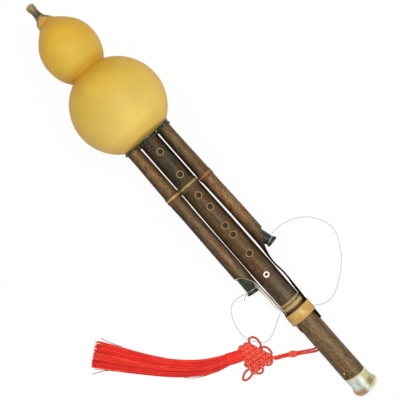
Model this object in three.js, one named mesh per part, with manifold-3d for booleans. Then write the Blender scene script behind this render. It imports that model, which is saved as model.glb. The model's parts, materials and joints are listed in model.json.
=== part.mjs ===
// A hulusi, the gourd flute of south-west China, lying on its back on a table.
// Millimetres, +Z up. The instrument is drawn along X with the big bulb's centre at zero,
// then tipped until the bulb and the foot both rest on the table.
import * as THREE from "three";
import { mergeVertices } from "three/addons/utils/BufferGeometryUtils.js";
import Module from "manifold-3d";

const wasm = await Module();
wasm.setup();

// Shared fits
const gap = 0.3; // between pieces that are seated on each other
const overrun = 2; // how far a cut runs past the face that it opens
const weld = 0.0005; // vertices nearer than this are one

// Gourd: two bulbs that meet in a sharp waist, the small one leaning a little to the right
const bigBulb = { station: 1.2, radius: 41.3, shoulderRadius: 23, floorRadius: 18, floorBulge: 1.5 };
const smallBulb = { radius: 25.6, stretch: 1.24, tipRadius: 5.6, lean: -1.4 };
const gourdWall = 2.6;
const gourdSides = 28;
const boreSides = 16; // of hidden inner faces
const waistRadius = 16.8;
const smallBulbUpperShares = [
  [-1.2, 0.28], [-1.05, 0.45], [-0.785, 0.712], [-0.523, 0.886], [-0.2, 0.985], [0.05, 1],
];
const gourdTipShare = -1.3; // where the tip is cut off, in radii from the bulb's centre
const bulbRoot = { reachShare: 1.15, radiusShare: 0.8 }; // of the small bulb inside the big one

// Stations that follow from the two bulbs
const shoulderReach = Math.sqrt(bigBulb.radius ** 2 - bigBulb.shoulderRadius ** 2);
const floorStation = bigBulb.station + shoulderReach + bigBulb.floorBulge;
const waistStation = bigBulb.station - Math.sqrt(bigBulb.radius ** 2 - waistRadius ** 2);
const waistAngle = Math.acos(waistRadius / smallBulb.radius);
const smallBulbStation = waistStation - smallBulb.stretch * Math.sin(waistAngle) * smallBulb.radius;
const gourdTip = smallBulbStation + gourdTipShare * smallBulb.radius;

// Mouthpiece: a turned horn nib whose stem is glued into the gourd's tip, a little askew
const mouthpiece = {
  length: 19.4, knobRadius: 3.95, knobLength: 5, neckRadius: 3.3, neckLength: 7,
  skirtRadius: 7.8, skirtLength: 4.2, stemRadius: 3.6, stemLength: 9, bore: 1.5, lipRound: 1.7,
  aside: -0.6, tilt: 2.3,
};
const nibFlareShares = [[-0.95, 0.06], [-0.5, 0.28], [-0.2, 0.58], [0, 0.84]];
const lipShare = 1 - Math.SQRT1_2; // of the lip's round, at its middle

// Pipes: the row stands a little to the left of the gourd's own axis
const pipesAside = -0.3;
const melody = {
  inset: 30.5, endStation: 301.3, topRadius: 9, endRadius: 9.75, tenonRadius: 8.6,
  bore: 5.8, septum: 3, nodeStation: 90.4, lowerNodeStation: 222, flat: 7.2,
};
const pipeSides = 26;
const shoulderStation = floorStation + 1; // where the pipes step down to their tenons
const nodeRidge = { height: 0.42, width: 3.4, lowHeight: 0.25, lowWidth: 4.6 };
const ridgeShares = [[-1, 0], [-0.6, 0.75], [-0.3, 1], [0, 0.35], [0.3, 1], [0.6, 0.75], [1, 0]];
const fingerHole = { radius: 2.45, rimRadius: 3.25, chamfer: 0.7 };
const fingerHoleStations = [54, 79, 102, 115.5, 135.5, 145.5, 166];
const fingerHoleTurns = [5.5, 5.5, 5.5, 12, 5.5, 5.5, 4].map(THREE.MathUtils.degToRad);
const bushing = { station: 188.5, turn: -2, radius: 3.05, bore: 1.05, proud: 0.25, depth: 3.3 };
const thumbHoleStation = 66;
const footVent = { station: 294, turn: -36, radius: 0.85 };
const tasselHole = { station: 267, turn: 180, spread: 5, radius: 1.3 };

// Drone pipes, one each side, each with a tongue of its own wall that runs down to the band
const pitch = 16.3; // at the gourd; the pipes spread by fan from there to fanEnd
const droneSides = 22;
const drone = {
  inset: 24, radius: 6.05, bore: 4.7, tenonRadius: 5.4, tenonBore: 3.9, septum: 2.5,
  flat: 4.9, tongueDepth: 1.5, tongueEnd: 246, scarfLength: 24, scarfBelly: 10.5,
  fan: 1, fanEnd: 134, fanAtNodeShare: 0.4,
};
const drones = {
  left: {
    side: -1, endRadius: 6.5, nodeStation: 89.7, scarfStation: 175.1, bow: -0.7, dip: -0.2, roll: 20,
  },
  right: {
    side: 1, endRadius: 6.1, nodeStation: 92.9, scarfStation: 156.2, bow: 0.1, dip: -0.9, roll: 0,
  },
};
const tongueSteps = 14;
const tongueShares = { before: -0.25, dip: 0.3, bowStart: 0.5, bowEnd: 0.7, pinch: 0.9 };

// Plugs that close the drones' cut mouths
const plug = {
  mouthRadius: 5.6, waist: 8.1, waistRadius: 4.45, end: 12.1, endRadius: 5.35, endRound: 0.8,
  spigotRadius: 4.2, spigotTipRadius: 3.3, spigotLength: 3.5, groove: 0.55, grooveWidth: 1.3,
};
const plugSeats = {
  left: { station: 182.4, tilt: 9 },
  right: { station: 161.6, tilt: 26 },
};
const bindingGap = 0.15;

// Reeds: brass plates with a free tongue, laid on flats that are shaved on the pipes
const reedInset = 1.3; // from the gourd's inner face
const reedOf = (length, width) =>
  ({ length, width, station: floorStation - gourdWall - reedInset - length / 2 });
const reeds = { melody: reedOf(24, 6.4), drone: reedOf(16, 4.4) };
const reedPlate = { thickness: 0.45, slit: 0.35, rimShare: 0.16, tongueWidthShare: 0.3 };

// Collars: horn saddles between the gourd and each pipe
const collar = { wall: 1.05, ridge: 0.35, ridgeWidth: 1.6, depth: 12.3 };
const collarReach = { melody: 4, left: 1.6, right: 3.4 }; // beyond the gourd's floor
const collarClearance = 0.15;

// Band that binds both tongues to the melody pipe
const band = { station: 232, width: 10, wall: 0.7, flatHalfHeight: 4.7 };

// Foot: a four-sided horn bell on a spigot
const footPoints = 24;
const foot = {
  neckRadius: 9.5, waistLength: 4.4, waistInradius: 8.9, flareLength: 6.6, wideRadius: 11.6,
  wideInradius: 10, lipLength: 2.2, lipRadius: 11.3, endLength: 2.9, endRadius: 9.3,
  endInradius: 8.5, turn: 6, squareness: 1.6, restDepth: 10.4, spigotRadius: 5.5,
  spigotLength: 10, bore: 4.3, mouthRadius: 6.6,
};
const footStart = melody.endStation + gap;
const footWaist = footStart + foot.waistLength;
const footWide = footWaist + foot.flareLength;
const footLip = footWide + foot.lipLength;
const footEnd = footLip + foot.endLength;

// Cords that lie on the table, as [x, y, z] points from the table under the bulb's centre
const cordDiameter = 1.5;
const threadDiameter = 0.5;
const cordSides = 6;
const stepsPerPoint = 1.3;
const cordRoutes = {
  tassel_cord_left: [
    [262.5, -0.3, 8.3], [262.3, -0.3, 5.9], [262, -1.3, 3.3], [262, -4.4, 1.3], [263.4, -8, 0.8],
    [263.6, -11.5, 0.8], [261.6, -15.6, 0.8], [258.9, -20, 1.2], [256.9, -23.3, 2.2],
    [256, -24.6, 2.6],
  ],
  tassel_cord_right: [
    [267.5, -0.3, 7.8], [267.3, -0.3, 5.4], [267.1, -1.3, 3], [267, -4.4, 1.2], [266.9, -8.4, 0.8],
    [265.6, -12.8, 0.8], [263.2, -16.8, 0.8], [260.6, -21, 1.2], [258.5, -24.3, 2.2],
    [257.6, -25.6, 2.6],
  ],
  knot_cord_left: [
    [251.8, -31.4, 2.6], [250.7, -33.6, 2.2], [249.2, -36.8, 1.4], [247.8, -39.7, 1.5],
    [246.6, -42.2, 2.2],
  ],
  knot_cord_right: [
    [253.4, -32.4, 2.6], [252.3, -34.6, 2.2], [250.8, -37.7, 1.4], [249.5, -40.5, 1.5],
    [248.3, -43, 2.2],
  ],
  left_plug_thread: [
    [190, -23.6, 19.9], [189.5, -25.4, 18.6], [188.5, -28.8, 15], [187.8, -32.8, 10.2],
    [188, -36.8, 5.4], [189.5, -40.8, 2], [192.4, -44.4, 0.6], [196.6, -46.9, 0.3],
    [201.4, -48.9, 0.3], [206.4, -50.2, 0.3], [211.6, -50.8, 0.3], [216.4, -50.6, 0.3],
    [220.6, -49.3, 0.3], [223.8, -48, 0.3], [226.7, -45.5, 0.3], [229.7, -43, 0.3],
    [232, -39.9, 0.3], [232.6, -36, 0.5], [231.3, -31.6, 1.6], [228.5, -26, 4.4],
    [225, -20.8, 9], [222.2, -16, 13.7], [220.8, -13.2, 16.6],
  ],
  right_plug_thread: [
    [166.4, 25.3, 23.2], [165.7, 27.7, 21.5], [165.2, 32.2, 16.2], [165.5, 37.4, 9.4],
    [166.8, 43.4, 3.8], [168.8, 49.2, 1], [172, 55, 0.4], [177, 60.8, 0.3], [183.2, 65.2, 0.3],
    [190, 68.2, 0.3], [197, 69.2, 0.3], [203, 68, 0.3], [208.6, 65.4, 0.3], [214, 62.2, 0.3],
    [219, 59, 0.3], [225.4, 53.2, 0.3], [231.4, 46, 0.4], [236, 39.4, 1], [239.4, 33, 2.8],
    [240.6, 26.6, 6.4], [239.4, 20.6, 11], [237, 16, 14.4], [234.6, 12.5, 16.8],
  ],
};

// Knots and tassel on the cord, from the same point
const buttonKnot = {
  x: 254.6, y: -28.6, z: 3.1, heading: -125, length: 6.6, radius: 3, waist: 2.4,
};
const turnShares = { shoulder: 0.75, dip: 0.3 };
const latticeKnot = {
  corners: [[224.6, -50.6], [246, -43], [243, -65], [222.6, -61.6]],
  strands: 5, cord: 1.8, rise: 0.72, lift: 0.18, steps: 8, sides: 4,
};
const knotLoops = [
  { edge: 0, from: 0.02, to: 0.42, reach: 8, slant: -2, steps: 18 },
  { edge: 0, from: 0.54, to: 0.9, reach: 5.6, slant: -1, steps: 14 },
  { edge: 1, from: 0.14, to: 0.36, reach: 4, slant: 0, steps: 14 },
  { edge: 1, from: 0.62, to: 0.86, reach: 5, slant: 0, steps: 16 },
  { edge: 2, from: 0.02, to: 0.2, reach: 10, slant: -3.6, steps: 18 },
  { edge: 2, from: 0.3, to: 0.44, reach: 3, slant: 0.5, steps: 12 },
  { edge: 3, from: 0.12, to: 0.42, reach: 2.8, slant: 0, steps: 12 },
  { edge: 3, from: 0.58, to: 0.88, reach: 3, slant: 0, steps: 12 },
];
const loopShares = { flare: 0.1, shoulder: 0.5, crown: 0.9, crownWidth: 0.3 };
const tasselHead = {
  from: [226.1, -63.8], to: [221.2, -74.6], radius: 5.3, neck: 3.4, ridge: 0.4,
};
const headShares = { collar: 0.12, collarRadius: 0.86, full: 0.3, end: 0.8 };
const tasselSkirt = {
  route: [
    [221.2, -75.4], [217.9, -84.7], [211.3, -96.5], [202.4, -107.7], [192.4, -118.1],
    [181.7, -127.6], [170.3, -137], [157.6, -147], [143.4, -158.6],
  ],
  halfWidths: [5.2, 6.6, 7.3, 7.7, 8.1, 8.8, 9.8, 11.2, 12.6],
  heights: [9.6, 9.4, 9, 8.4, 7.6, 6.8, 6, 5, 4],
  points: 14,
};

const turn = THREE.MathUtils.degToRad;
const xAxis = new THREE.Vector3(1, 0, 0);
const yAxis = new THREE.Vector3(0, 1, 0);
const zAxis = new THREE.Vector3(0, 0, 1);

// A closed solid from a geometry, whichever way its faces were wound
function solid(geometry) {
  const bare = geometry.clone();
  bare.deleteAttribute("normal");
  if (bare.getAttribute("uv")) bare.deleteAttribute("uv");
  const merged = mergeVertices(bare, weld);
  const corners = merged.index.array;
  const kept = [];
  for (let i = 0; i < corners.length; i += 3) {
    const [a, b, c] = [corners[i], corners[i + 1], corners[i + 2]];
    if (a !== b && b !== c && c !== a) kept.push([a, b, c]);
  }
  const points = new Float32Array(merged.attributes.position.array);
  const wind = (flip) => new Uint32Array(kept.flatMap(([a, b, c]) => (flip ? [a, c, b] : [a, b, c])));
  const made = (flip) =>
    new wasm.Manifold(new wasm.Mesh({ numProp: 3, vertProperties: points, triVerts: wind(flip) }));
  const first = made(false);
  return first.volume() < 0 ? made(true) : first;
}

// The geometry of a solid, for a mesh
function geometryOf(shape) {
  const mesh = shape.getMesh();
  const points = new Float32Array(mesh.numVert * 3);
  for (let i = 0; i < mesh.numVert; i++) {
    points.set(mesh.vertProperties.subarray(i * mesh.numProp, i * mesh.numProp + 3), i * 3);
  }
  const geometry = new THREE.BufferGeometry();
  geometry.setAttribute("position", new THREE.BufferAttribute(points, 3));
  geometry.setIndex(new THREE.BufferAttribute(new Uint32Array(mesh.triVerts), 1));
  geometry.computeVertexNormals();
  return geometry;
}

// A turned body about the X axis, from [station, radius] pairs
function turned(profile, sides = 32) {
  const points = profile.map(([station, radius]) => new THREE.Vector2(radius, station));
  return new THREE.LatheGeometry(points, sides).rotateZ(-Math.PI / 2);
}

// A straight round rod between two stations on the X axis
const rod = (from, to, radius, sides = 32) =>
  turned([[from, 0], [from, radius], [to, radius], [to, 0]], sides);

// A prism along X from an outline in the YZ plane
function prismX(shape, from, length) {
  const geometry = new THREE.ExtrudeGeometry(shape, { depth: length, bevelEnabled: false });
  return geometry.applyMatrix4(new THREE.Matrix4().makeBasis(yAxis, zAxis, xAxis)).translate(from, 0, 0);
}

// A prism along Z, centred on the XY plane
function prismZ(points, height) {
  const shape = new THREE.Shape(points.map(([x, y]) => new THREE.Vector2(x, y)));
  const geometry = new THREE.ExtrudeGeometry(shape, { depth: height, bevelEnabled: false });
  return geometry.translate(0, 0, -height / 2);
}

const block = (x, y, z, width, depth, height) =>
  new THREE.BoxGeometry(width, depth, height).translate(x, y, z);

// A turned body whose axis points out of a pipe, at a station and a turn from the top
function radial(profile, station, angle, sides = 16) {
  const out = new THREE.Vector3(0, Math.sin(angle), Math.cos(angle));
  const swing = new THREE.Quaternion().setFromUnitVectors(xAxis, out);
  return turned(profile, sides).applyQuaternion(swing).translate(station, 0, 0);
}

const joined = (shapes) => shapes.reduce((sum, shape) => sum.add(shape));
const cutBy = (shape, cutters) => cutters.reduce((left, cutter) => left.subtract(cutter), shape);

const melodyRadius = (station) =>
  THREE.MathUtils.mapLinear(
    station, shoulderStation, melody.endStation, melody.topRadius, melody.endRadius,
  );

// Raised double ring of a bamboo node, as [station, height] pairs
function ridge(station, height, width) {
  return ridgeShares.map(([along, share]) => [station + along * width, share * height]);
}

// The big bulb's outline, moved out by grow
function bigBulbProfile(grow, steps = 16) {
  const radius = bigBulb.radius + grow;
  const shoulder = Math.asin(bigBulb.shoulderRadius / bigBulb.radius);
  const points = [];
  for (let i = 0; i <= steps; i++) {
    const angle = Math.PI + ((shoulder - Math.PI) * i) / steps;
    const station = bigBulb.station + radius * Math.cos(angle);
    points.push([station, radius * Math.max(0, Math.sin(angle))]);
  }
  points[0][1] = 0;
  const [station, start] = points[points.length - 1];
  const floor = new THREE.QuadraticBezierCurve(
    new THREE.Vector2(station, start),
    new THREE.Vector2(floorStation + grow, bigBulb.floorRadius),
    new THREE.Vector2(floorStation + grow, 0),
  );
  floor.getPoints(4).slice(1).forEach((p) => points.push([p.x, Math.max(0, p.y)]));
  return points;
}

// The small bulb's outline, moved out by grow; it ends on the axis inside the big bulb
function smallBulbProfile(grow, steps = 12) {
  const radius = smallBulb.radius + grow;
  const at = ([along, out]) => new THREE.Vector2(smallBulbStation + along * radius, out * radius);
  const lower = [1 / 3, 2 / 3, 1].map((share) => [
    smallBulb.stretch * Math.sin(share * waistAngle), Math.cos(share * waistAngle),
  ]);
  const curve = new THREE.SplineCurve([...smallBulbUpperShares, ...lower].map(at));
  const sweep = curve.getPoints(steps).map((p) => [p.x, p.y]);
  const tip = gourdTip - grow;
  const root = smallBulbStation + bulbRoot.reachShare * radius;
  return [
    [tip, 0], [tip, smallBulb.tipRadius + grow], ...sweep,
    [root, bulbRoot.radiusShare * waistRadius], [root, 0],
  ];
}

// From a straight gourd to the lean of its small bulb, about the waist
const leaned = (geometry) =>
  geometry.translate(-waistStation, 0, 0).rotateZ(turn(smallBulb.lean)).translate(waistStation, 0, 0);

// From the gourd's axis to the mouthpiece's own line
const nibPlaced = (geometry) =>
  geometry.translate(-gourdTip, 0, 0).rotateZ(turn(mouthpiece.tilt))
    .translate(gourdTip, mouthpiece.aside, 0);

function gourdShell() {
  const outside = joined([
    solid(turned(bigBulbProfile(0), gourdSides)),
    solid(leaned(turned(smallBulbProfile(0), gourdSides))),
  ]);
  const neckStart = bigBulb.station - bigBulb.radius - gourdWall;
  const neck = rod(neckStart, bigBulb.station, waistRadius - gourdWall);
  const inside = joined([
    solid(turned(bigBulbProfile(-gourdWall, 8), boreSides)),
    solid(leaned(turned(smallBulbProfile(-gourdWall, 6), boreSides))),
    solid(neck),
  ]);
  const stemHole = rod(gourdTip - overrun, gourdTip + 2 * gourdWall + overrun,
    mouthpiece.stemRadius + gap, 20);
  const through = (radius, y) => solid(
    rod(bigBulb.station, bigBulb.station + bigBulb.radius, radius + gap)
      .translate(0, pipesAside + y, 0),
  );
  return cutBy(outside, [
    inside,
    solid(nibPlaced(stemHole)),
    through(melody.tenonRadius, 0),
    through(drone.tenonRadius, pitch),
    through(drone.tenonRadius, -pitch),
  ]);
}

function mouthpieceNib() {
  const m = mouthpiece;
  const tip = gourdTip - m.length;
  const base = gourdTip - gap;
  const knobEnd = tip + m.knobLength;
  const rim = base + m.skirtLength;
  const flare = nibFlareShares.map(([along, share]) =>
    [base + along * m.neckLength, THREE.MathUtils.lerp(m.neckRadius, m.skirtRadius, share)]);
  const outline = [
    [tip, m.bore], [tip, m.knobRadius - m.lipRound],
    [tip + lipShare * m.lipRound, m.knobRadius - lipShare * m.lipRound],
    [tip + m.lipRound, m.knobRadius], [knobEnd, m.knobRadius],
    [knobEnd + m.neckLength / 3, m.neckRadius], ...flare,
    [rim, m.skirtRadius], [rim + gap, m.skirtRadius - gap], [rim + gap, m.stemRadius],
    [base + m.stemLength, m.stemRadius], [base + m.stemLength, m.bore], [tip, m.bore],
  ];
  const stem = nibPlaced(rod(gourdTip - overrun, 0, m.stemRadius, 16));
  const saddle = solid(leaned(turned(smallBulbProfile(gap), 16))).subtract(solid(stem));
  return solid(nibPlaced(turned(outline, 16))).subtract(saddle);
}

// A horn saddle: a ridged ring whose foot is cut to the gourd's curve
function collarSaddle(pipeRadius, tenonRadius, reach) {
  const outer = pipeRadius + collar.wall;
  const root = floorStation - collar.depth;
  const end = floorStation + reach;
  const outline = [
    [root, outer + collar.ridge], [end - 2 * collar.ridgeWidth, outer - collar.ridge],
    [end - collar.ridgeWidth, outer], [end - collar.ridgeWidth / 2, outer + collar.ridge],
    [end, outer], [end, pipeRadius + gap], [shoulderStation - gap, pipeRadius + gap],
    [shoulderStation - gap, tenonRadius + gap], [root, tenonRadius + gap],
    [root, outer + collar.ridge],
  ];
  return turned(outline, 24);
}

const gourdGrown = () =>
  solid(turned(bigBulbProfile(gap), gourdSides).translate(0, -pipesAside, 0));

function melodyCollar() {
  const ring = collarSaddle(melody.topRadius, melody.tenonRadius, collarReach.melody);
  const end = floorStation + collarReach.melody + overrun;
  const room = (side) => solid(rod(0, end, drone.radius + gap).translate(0, side * pitch, 0));
  return cutBy(solid(ring), [gourdGrown(), room(1), room(-1)]);
}

function droneCollar(name) {
  const side = drones[name].side;
  const ring = collarSaddle(drone.radius, drone.tenonRadius, collarReach[name]);
  const melodyRoom = melody.topRadius + collar.wall + collar.ridge + collarClearance;
  const end = floorStation + collarReach[name] + overrun;
  return cutBy(solid(ring.translate(0, side * pitch, 0)), [
    gourdGrown(),
    solid(rod(0, end, melodyRoom)),
  ]);
}

// Cutter for a countersunk finger hole through one wall
function holeCutter(hole, surface, station, angle) {
  const profile = [
    [0, 0], [0, hole.radius], [surface - hole.chamfer, hole.radius],
    [surface, hole.rimRadius], [surface + overrun, hole.rimRadius + overrun / 2],
    [surface + overrun, 0],
  ];
  return solid(radial(profile, station, angle, 16));
}

function plainHole(radius, station, angle, reach = melody.endRadius + overrun) {
  return solid(radial([[0, 0], [0, radius], [reach, radius], [reach, 0]], station, angle, 12));
}

// Flat and wind slot under a reed plate, on the top of a pipe's tenon
function reedSeat(reed, flat, outer) {
  const depth = outer + overrun - flat;
  const length = reed.length + 2 * gap;
  const shave = block(reed.station, 0, flat + depth / 2, length, 3 * outer, depth);
  const slot = block(
    reed.station, 0, flat / 2,
    reed.length * (1 - 2 * reedPlate.rimShare), reed.width * reedPlate.tongueWidthShare * 2, flat + gap,
  );
  return [solid(shave), solid(slot)];
}

function melodyPipe() {
  const at = ([station, height]) => [station, melodyRadius(station) + height];
  const top = floorStation - melody.inset;
  const outline = [
    [top, 0], [top, melody.tenonRadius],
    [shoulderStation, melody.tenonRadius], [shoulderStation, melody.topRadius],
    ...ridge(melody.nodeStation, nodeRidge.height, nodeRidge.width).map(at),
    ...ridge(melody.lowerNodeStation, nodeRidge.lowHeight, nodeRidge.lowWidth).map(at),
    [melody.endStation, melody.endRadius], [melody.endStation, melody.bore],
    [top + melody.septum, melody.bore], [top + melody.septum, 0],
  ];
  const cutters = fingerHoleStations.map((station, i) =>
    holeCutter(fingerHole, melodyRadius(station), station, fingerHoleTurns[i]),
  );
  cutters.push(
    holeCutter(fingerHole, melodyRadius(thumbHoleStation), thumbHoleStation, Math.PI),
    plainHole(bushing.radius + gap, bushing.station, turn(bushing.turn)),
    plainHole(footVent.radius, footVent.station, turn(footVent.turn)),
    ...[-1, 1].map((way) =>
      plainHole(tasselHole.radius, tasselHole.station + way * tasselHole.spread / 2,
        turn(tasselHole.turn)),
    ),
    ...reedSeat(reeds.melody, melody.flat, melody.tenonRadius),
  );
  return cutBy(solid(turned(outline, pipeSides)), cutters);
}

const droneRadius = (name, station) =>
  THREE.MathUtils.mapLinear(
    station, shoulderStation, drones[name].scarfStation, drone.radius, drones[name].endRadius,
  );

// The value at a station of a line through rising points
function lineAt(points, station) {
  if (station <= points[0].x) return points[0].y;
  const next = points.findIndex((p) => p.x > station);
  if (next < 1) return points[points.length - 1].y;
  const [a, b] = [points[next - 1], points[next]];
  return THREE.MathUtils.mapLinear(station, a.x, b.x, a.y, b.y);
}

// How far a drone stands out from its pitch at a station, down to its tongue under the band
function droneLine(name) {
  const d = drones[name];
  const start = d.scarfStation + drone.scarfLength / 2;
  const pinched = melodyRadius(band.station) + gap + d.endRadius - pitch;
  const bow = drone.fan + d.bow;
  const bandStart = band.station - band.width / 2;
  const span = bandStart - start;
  const tongue = new THREE.SplineCurve([
    new THREE.Vector2(start + tongueShares.before * span, drone.fan),
    new THREE.Vector2(start, drone.fan),
    new THREE.Vector2(start + tongueShares.dip * span, drone.fan + d.dip),
    new THREE.Vector2(start + tongueShares.bowStart * span, bow),
    new THREE.Vector2(start + tongueShares.bowEnd * span, bow),
    new THREE.Vector2(start + tongueShares.pinch * span, (bow + pinched) / 2),
    new THREE.Vector2(bandStart, pinched),
    new THREE.Vector2(drone.tongueEnd + overrun, pinched),
  ]);
  return [
    new THREE.Vector2(shoulderStation, 0),
    new THREE.Vector2(d.nodeStation, drone.fan * drone.fanAtNodeShare),
    new THREE.Vector2(drone.fanEnd, drone.fan),
    ...tongue.getPoints(6 * tongueSteps),
  ];
}

const droneLines = { left: droneLine("left"), right: droneLine("right") };
const droneOffset = (name, station) => lineAt(droneLines[name], station);

// How far a drone's cut face is turned up at a station; it lies level under the band
function cutRoll(name, station) {
  const from = drones[name].scarfStation + drone.scarfLength;
  const to = band.station - band.width / 2 - overrun;
  const share = THREE.MathUtils.clamp((station - from) / (to - from), 0, 1);
  return turn(drones[name].roll) * (1 - share);
}

// A straight body about a drone's axis, bent along the drone and rolled with its cut
function bent(geometry, name, rolled) {
  const place = geometry.getAttribute("position");
  const point = new THREE.Vector3();
  for (let i = 0; i < place.count; i++) {
    point.fromBufferAttribute(place, i);
    if (rolled) point.applyAxisAngle(xAxis, cutRoll(name, point.x));
    place.setXYZ(i, point.x, point.y + droneOffset(name, point.x), point.z);
  }
  return geometry;
}

// The quill cut that opens a drone's end, as [station, offset out from the pipe's axis] pairs
function scarfCurve(name) {
  const start = drones[name].scarfStation;
  const low = drone.tongueDepth - drones[name].endRadius;
  const curve = new THREE.QuadraticBezierCurve(
    new THREE.Vector2(start, drones[name].endRadius),
    new THREE.Vector2(start + drone.scarfBelly, low),
    new THREE.Vector2(start + drone.scarfLength, low),
  );
  return curve.getPoints(12).map((p) => [p.x, p.y]);
}

// The scarf and the top of the tongue, as one outline that also closes round the waste
function scarfWaste(name) {
  const cut = scarfCurve(name);
  const first = [drones[name].scarfStation - drone.radius, 2 * drone.radius];
  const last = cut[cut.length - 1];
  const rest = [];
  for (let i = 1; i <= tongueSteps; i++) {
    rest.push([THREE.MathUtils.lerp(last[0], drone.tongueEnd + overrun, i / tongueSteps), last[1]]);
  }
  return [first, ...cut, ...rest, [drone.tongueEnd + overrun, 2 * drone.radius]];
}

const toSide = (geometry, side) =>
  geometry.applyMatrix4(new THREE.Matrix4().makeScale(1, side, 1)).translate(0, side * pitch, 0);

function dronePipe(name) {
  const d = drones[name];
  const top = floorStation - drone.inset;
  const steps = Array.from({ length: tongueSteps + 1 }, (_, i) =>
    THREE.MathUtils.lerp(d.scarfStation, drone.tongueEnd, i / tongueSteps),
  );
  const step = shoulderStation + overrun;
  const outline = [
    [top, 0], [top, drone.tenonRadius],
    [shoulderStation, drone.tenonRadius], [shoulderStation, drone.radius],
    ...ridge(d.nodeStation, nodeRidge.height, nodeRidge.width)
      .map(([station, height]) => [station, droneRadius(name, station) + height]),
    [drone.fanEnd, droneRadius(name, drone.fanEnd)],
    ...steps.map((station) => [station, d.endRadius]),
    ...steps.reverse().map((station) => [station, drone.bore]),
    [drone.fanEnd, drone.bore], [d.nodeStation, drone.bore],
    [step, drone.bore], [step, drone.tenonBore],
    [top + drone.septum, drone.tenonBore], [top + drone.septum, 0],
  ];
  const wall = bent(turned(outline, droneSides), name, false);
  const waste = bent(prismZ(scarfWaste(name), 4 * drone.radius), name, true);
  const body = solid(toSide(wall, d.side)).subtract(solid(toSide(waste, d.side)));
  const seat = reedSeat(reeds.drone, drone.flat, drone.tenonRadius)
    .map((cutter) => cutter.translate([0, d.side * pitch, 0]));
  return cutBy(body, [...seat, solid(plugPlaced(plugSpigot(gap), name))]);
}

// Plug's spigot, grown for the reamed seat that it fits
function plugSpigot(grow) {
  const reach = grow ? plug.waist : gap;
  return turned([
    [-plug.spigotLength - grow, 0], [-plug.spigotLength - grow, plug.spigotTipRadius + grow],
    [gap, plug.spigotRadius + grow], [reach + grow, plug.spigotRadius + grow], [reach + grow, 0],
  ], 24);
}

// From the plug's own line to its leaning place in a drone's mouth
function plugPlaced(geometry, name) {
  const { side } = drones[name];
  const { station, tilt } = plugSeats[name];
  const out = pitch + droneOffset(name, station);
  return geometry.rotateZ(side * turn(tilt)).translate(station, side * out, 0);
}

function plugBody(name) {
  const p = plug;
  const back = -p.mouthRadius;
  const flare = (p.mouthRadius - p.waistRadius) / p.waist;
  const grooveEnd = p.waist + p.grooveWidth;
  const cone = turned([
    [back, 0], [back, p.mouthRadius - flare * back], [p.waist, p.waistRadius],
    [p.waist, p.waistRadius - p.groove], [grooveEnd, p.waistRadius - p.groove],
    [grooveEnd, p.waistRadius], [p.end - p.endRound, p.endRadius],
    [p.end, p.endRadius - p.endRound / 2], [p.end, 0],
  ], 20);
  const ahead = scarfWaste(name).map(([x, y]) => [x + gap, y + gap]);
  const waste = bent(prismZ(ahead, 4 * drone.radius), name, true);
  const room = solid(toSide(waste, drones[name].side));
  return solid(plugPlaced(cone, name)).intersect(room)
    .add(solid(plugPlaced(plugSpigot(0), name)));
}

// Two turns of thread in the plug's groove
function plugBinding(name) {
  const p = plug;
  const low = p.waistRadius - p.groove + bindingGap;
  const high = p.waistRadius + bindingGap;
  const [from, to] = [p.waist + bindingGap, p.waist + p.grooveWidth - bindingGap];
  const middle = (from + to) / 2;
  const ring = turned([
    [from, low], [from, high - bindingGap], [(from + middle) / 2, high],
    [middle, high - bindingGap], [(middle + to) / 2, high], [to, high - bindingGap], [to, low],
    [from, low],
  ], 16);
  return solid(plugPlaced(ring, name));
}

function reedPlateOf(reed, flat, y) {
  const { thickness, slit, rimShare, tongueWidthShare } = reedPlate;
  const z = flat + gap / 2 + thickness / 2;
  const plate = solid(block(reed.station, y, z, reed.length, reed.width, thickness));
  const length = reed.length * (1 - 2 * rimShare);
  const half = reed.width * tongueWidthShare;
  const tall = thickness + overrun;
  const rails = [-1, 1].map((way) =>
    solid(block(reed.station, y + way * half, z, length, slit, tall)));
  const tip = solid(block(reed.station + length / 2, y, z, slit, 2 * half + slit, tall));
  return cutBy(plate, [...rails, tip]);
}

function holeBushing() {
  const top = melodyRadius(bushing.station) + bushing.proud;
  const bottom = top - bushing.depth;
  const round = bushing.proud;
  const outline = [
    [bottom, bushing.bore], [bottom, bushing.radius], [top - round, bushing.radius],
    [top, bushing.radius - round], [top, bushing.bore + round], [top - round, bushing.bore],
    [bottom, bushing.bore],
  ];
  return solid(radial(outline, bushing.station, turn(bushing.turn)));
}

// The band's outline: round over the pipe, with a flat over each tongue
function bandOutline(grow) {
  const radius = melodyRadius(band.station) + gap + grow;
  const side = melodyRadius(band.station) + gap + drone.tongueDepth + gap + grow;
  const half = band.flatHalfHeight;
  const reach = Math.hypot(side, half);
  const touch = Math.atan2(half, side) + Math.acos(radius / reach);
  const shape = new THREE.Shape();
  shape.moveTo(side, -half);
  shape.lineTo(side, half);
  shape.absarc(0, 0, radius, touch, Math.PI - touch, false);
  shape.lineTo(-side, half);
  shape.lineTo(-side, -half);
  shape.absarc(0, 0, radius, Math.PI + touch, 2 * Math.PI - touch, false);
  return shape;
}

function bindingBand() {
  const start = band.station - band.width / 2;
  const outside = solid(prismX(bandOutline(band.wall), start, band.width));
  const inside = solid(prismX(bandOutline(0), start - overrun, band.width + 2 * overrun));
  return outside.subtract(inside);
}

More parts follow.
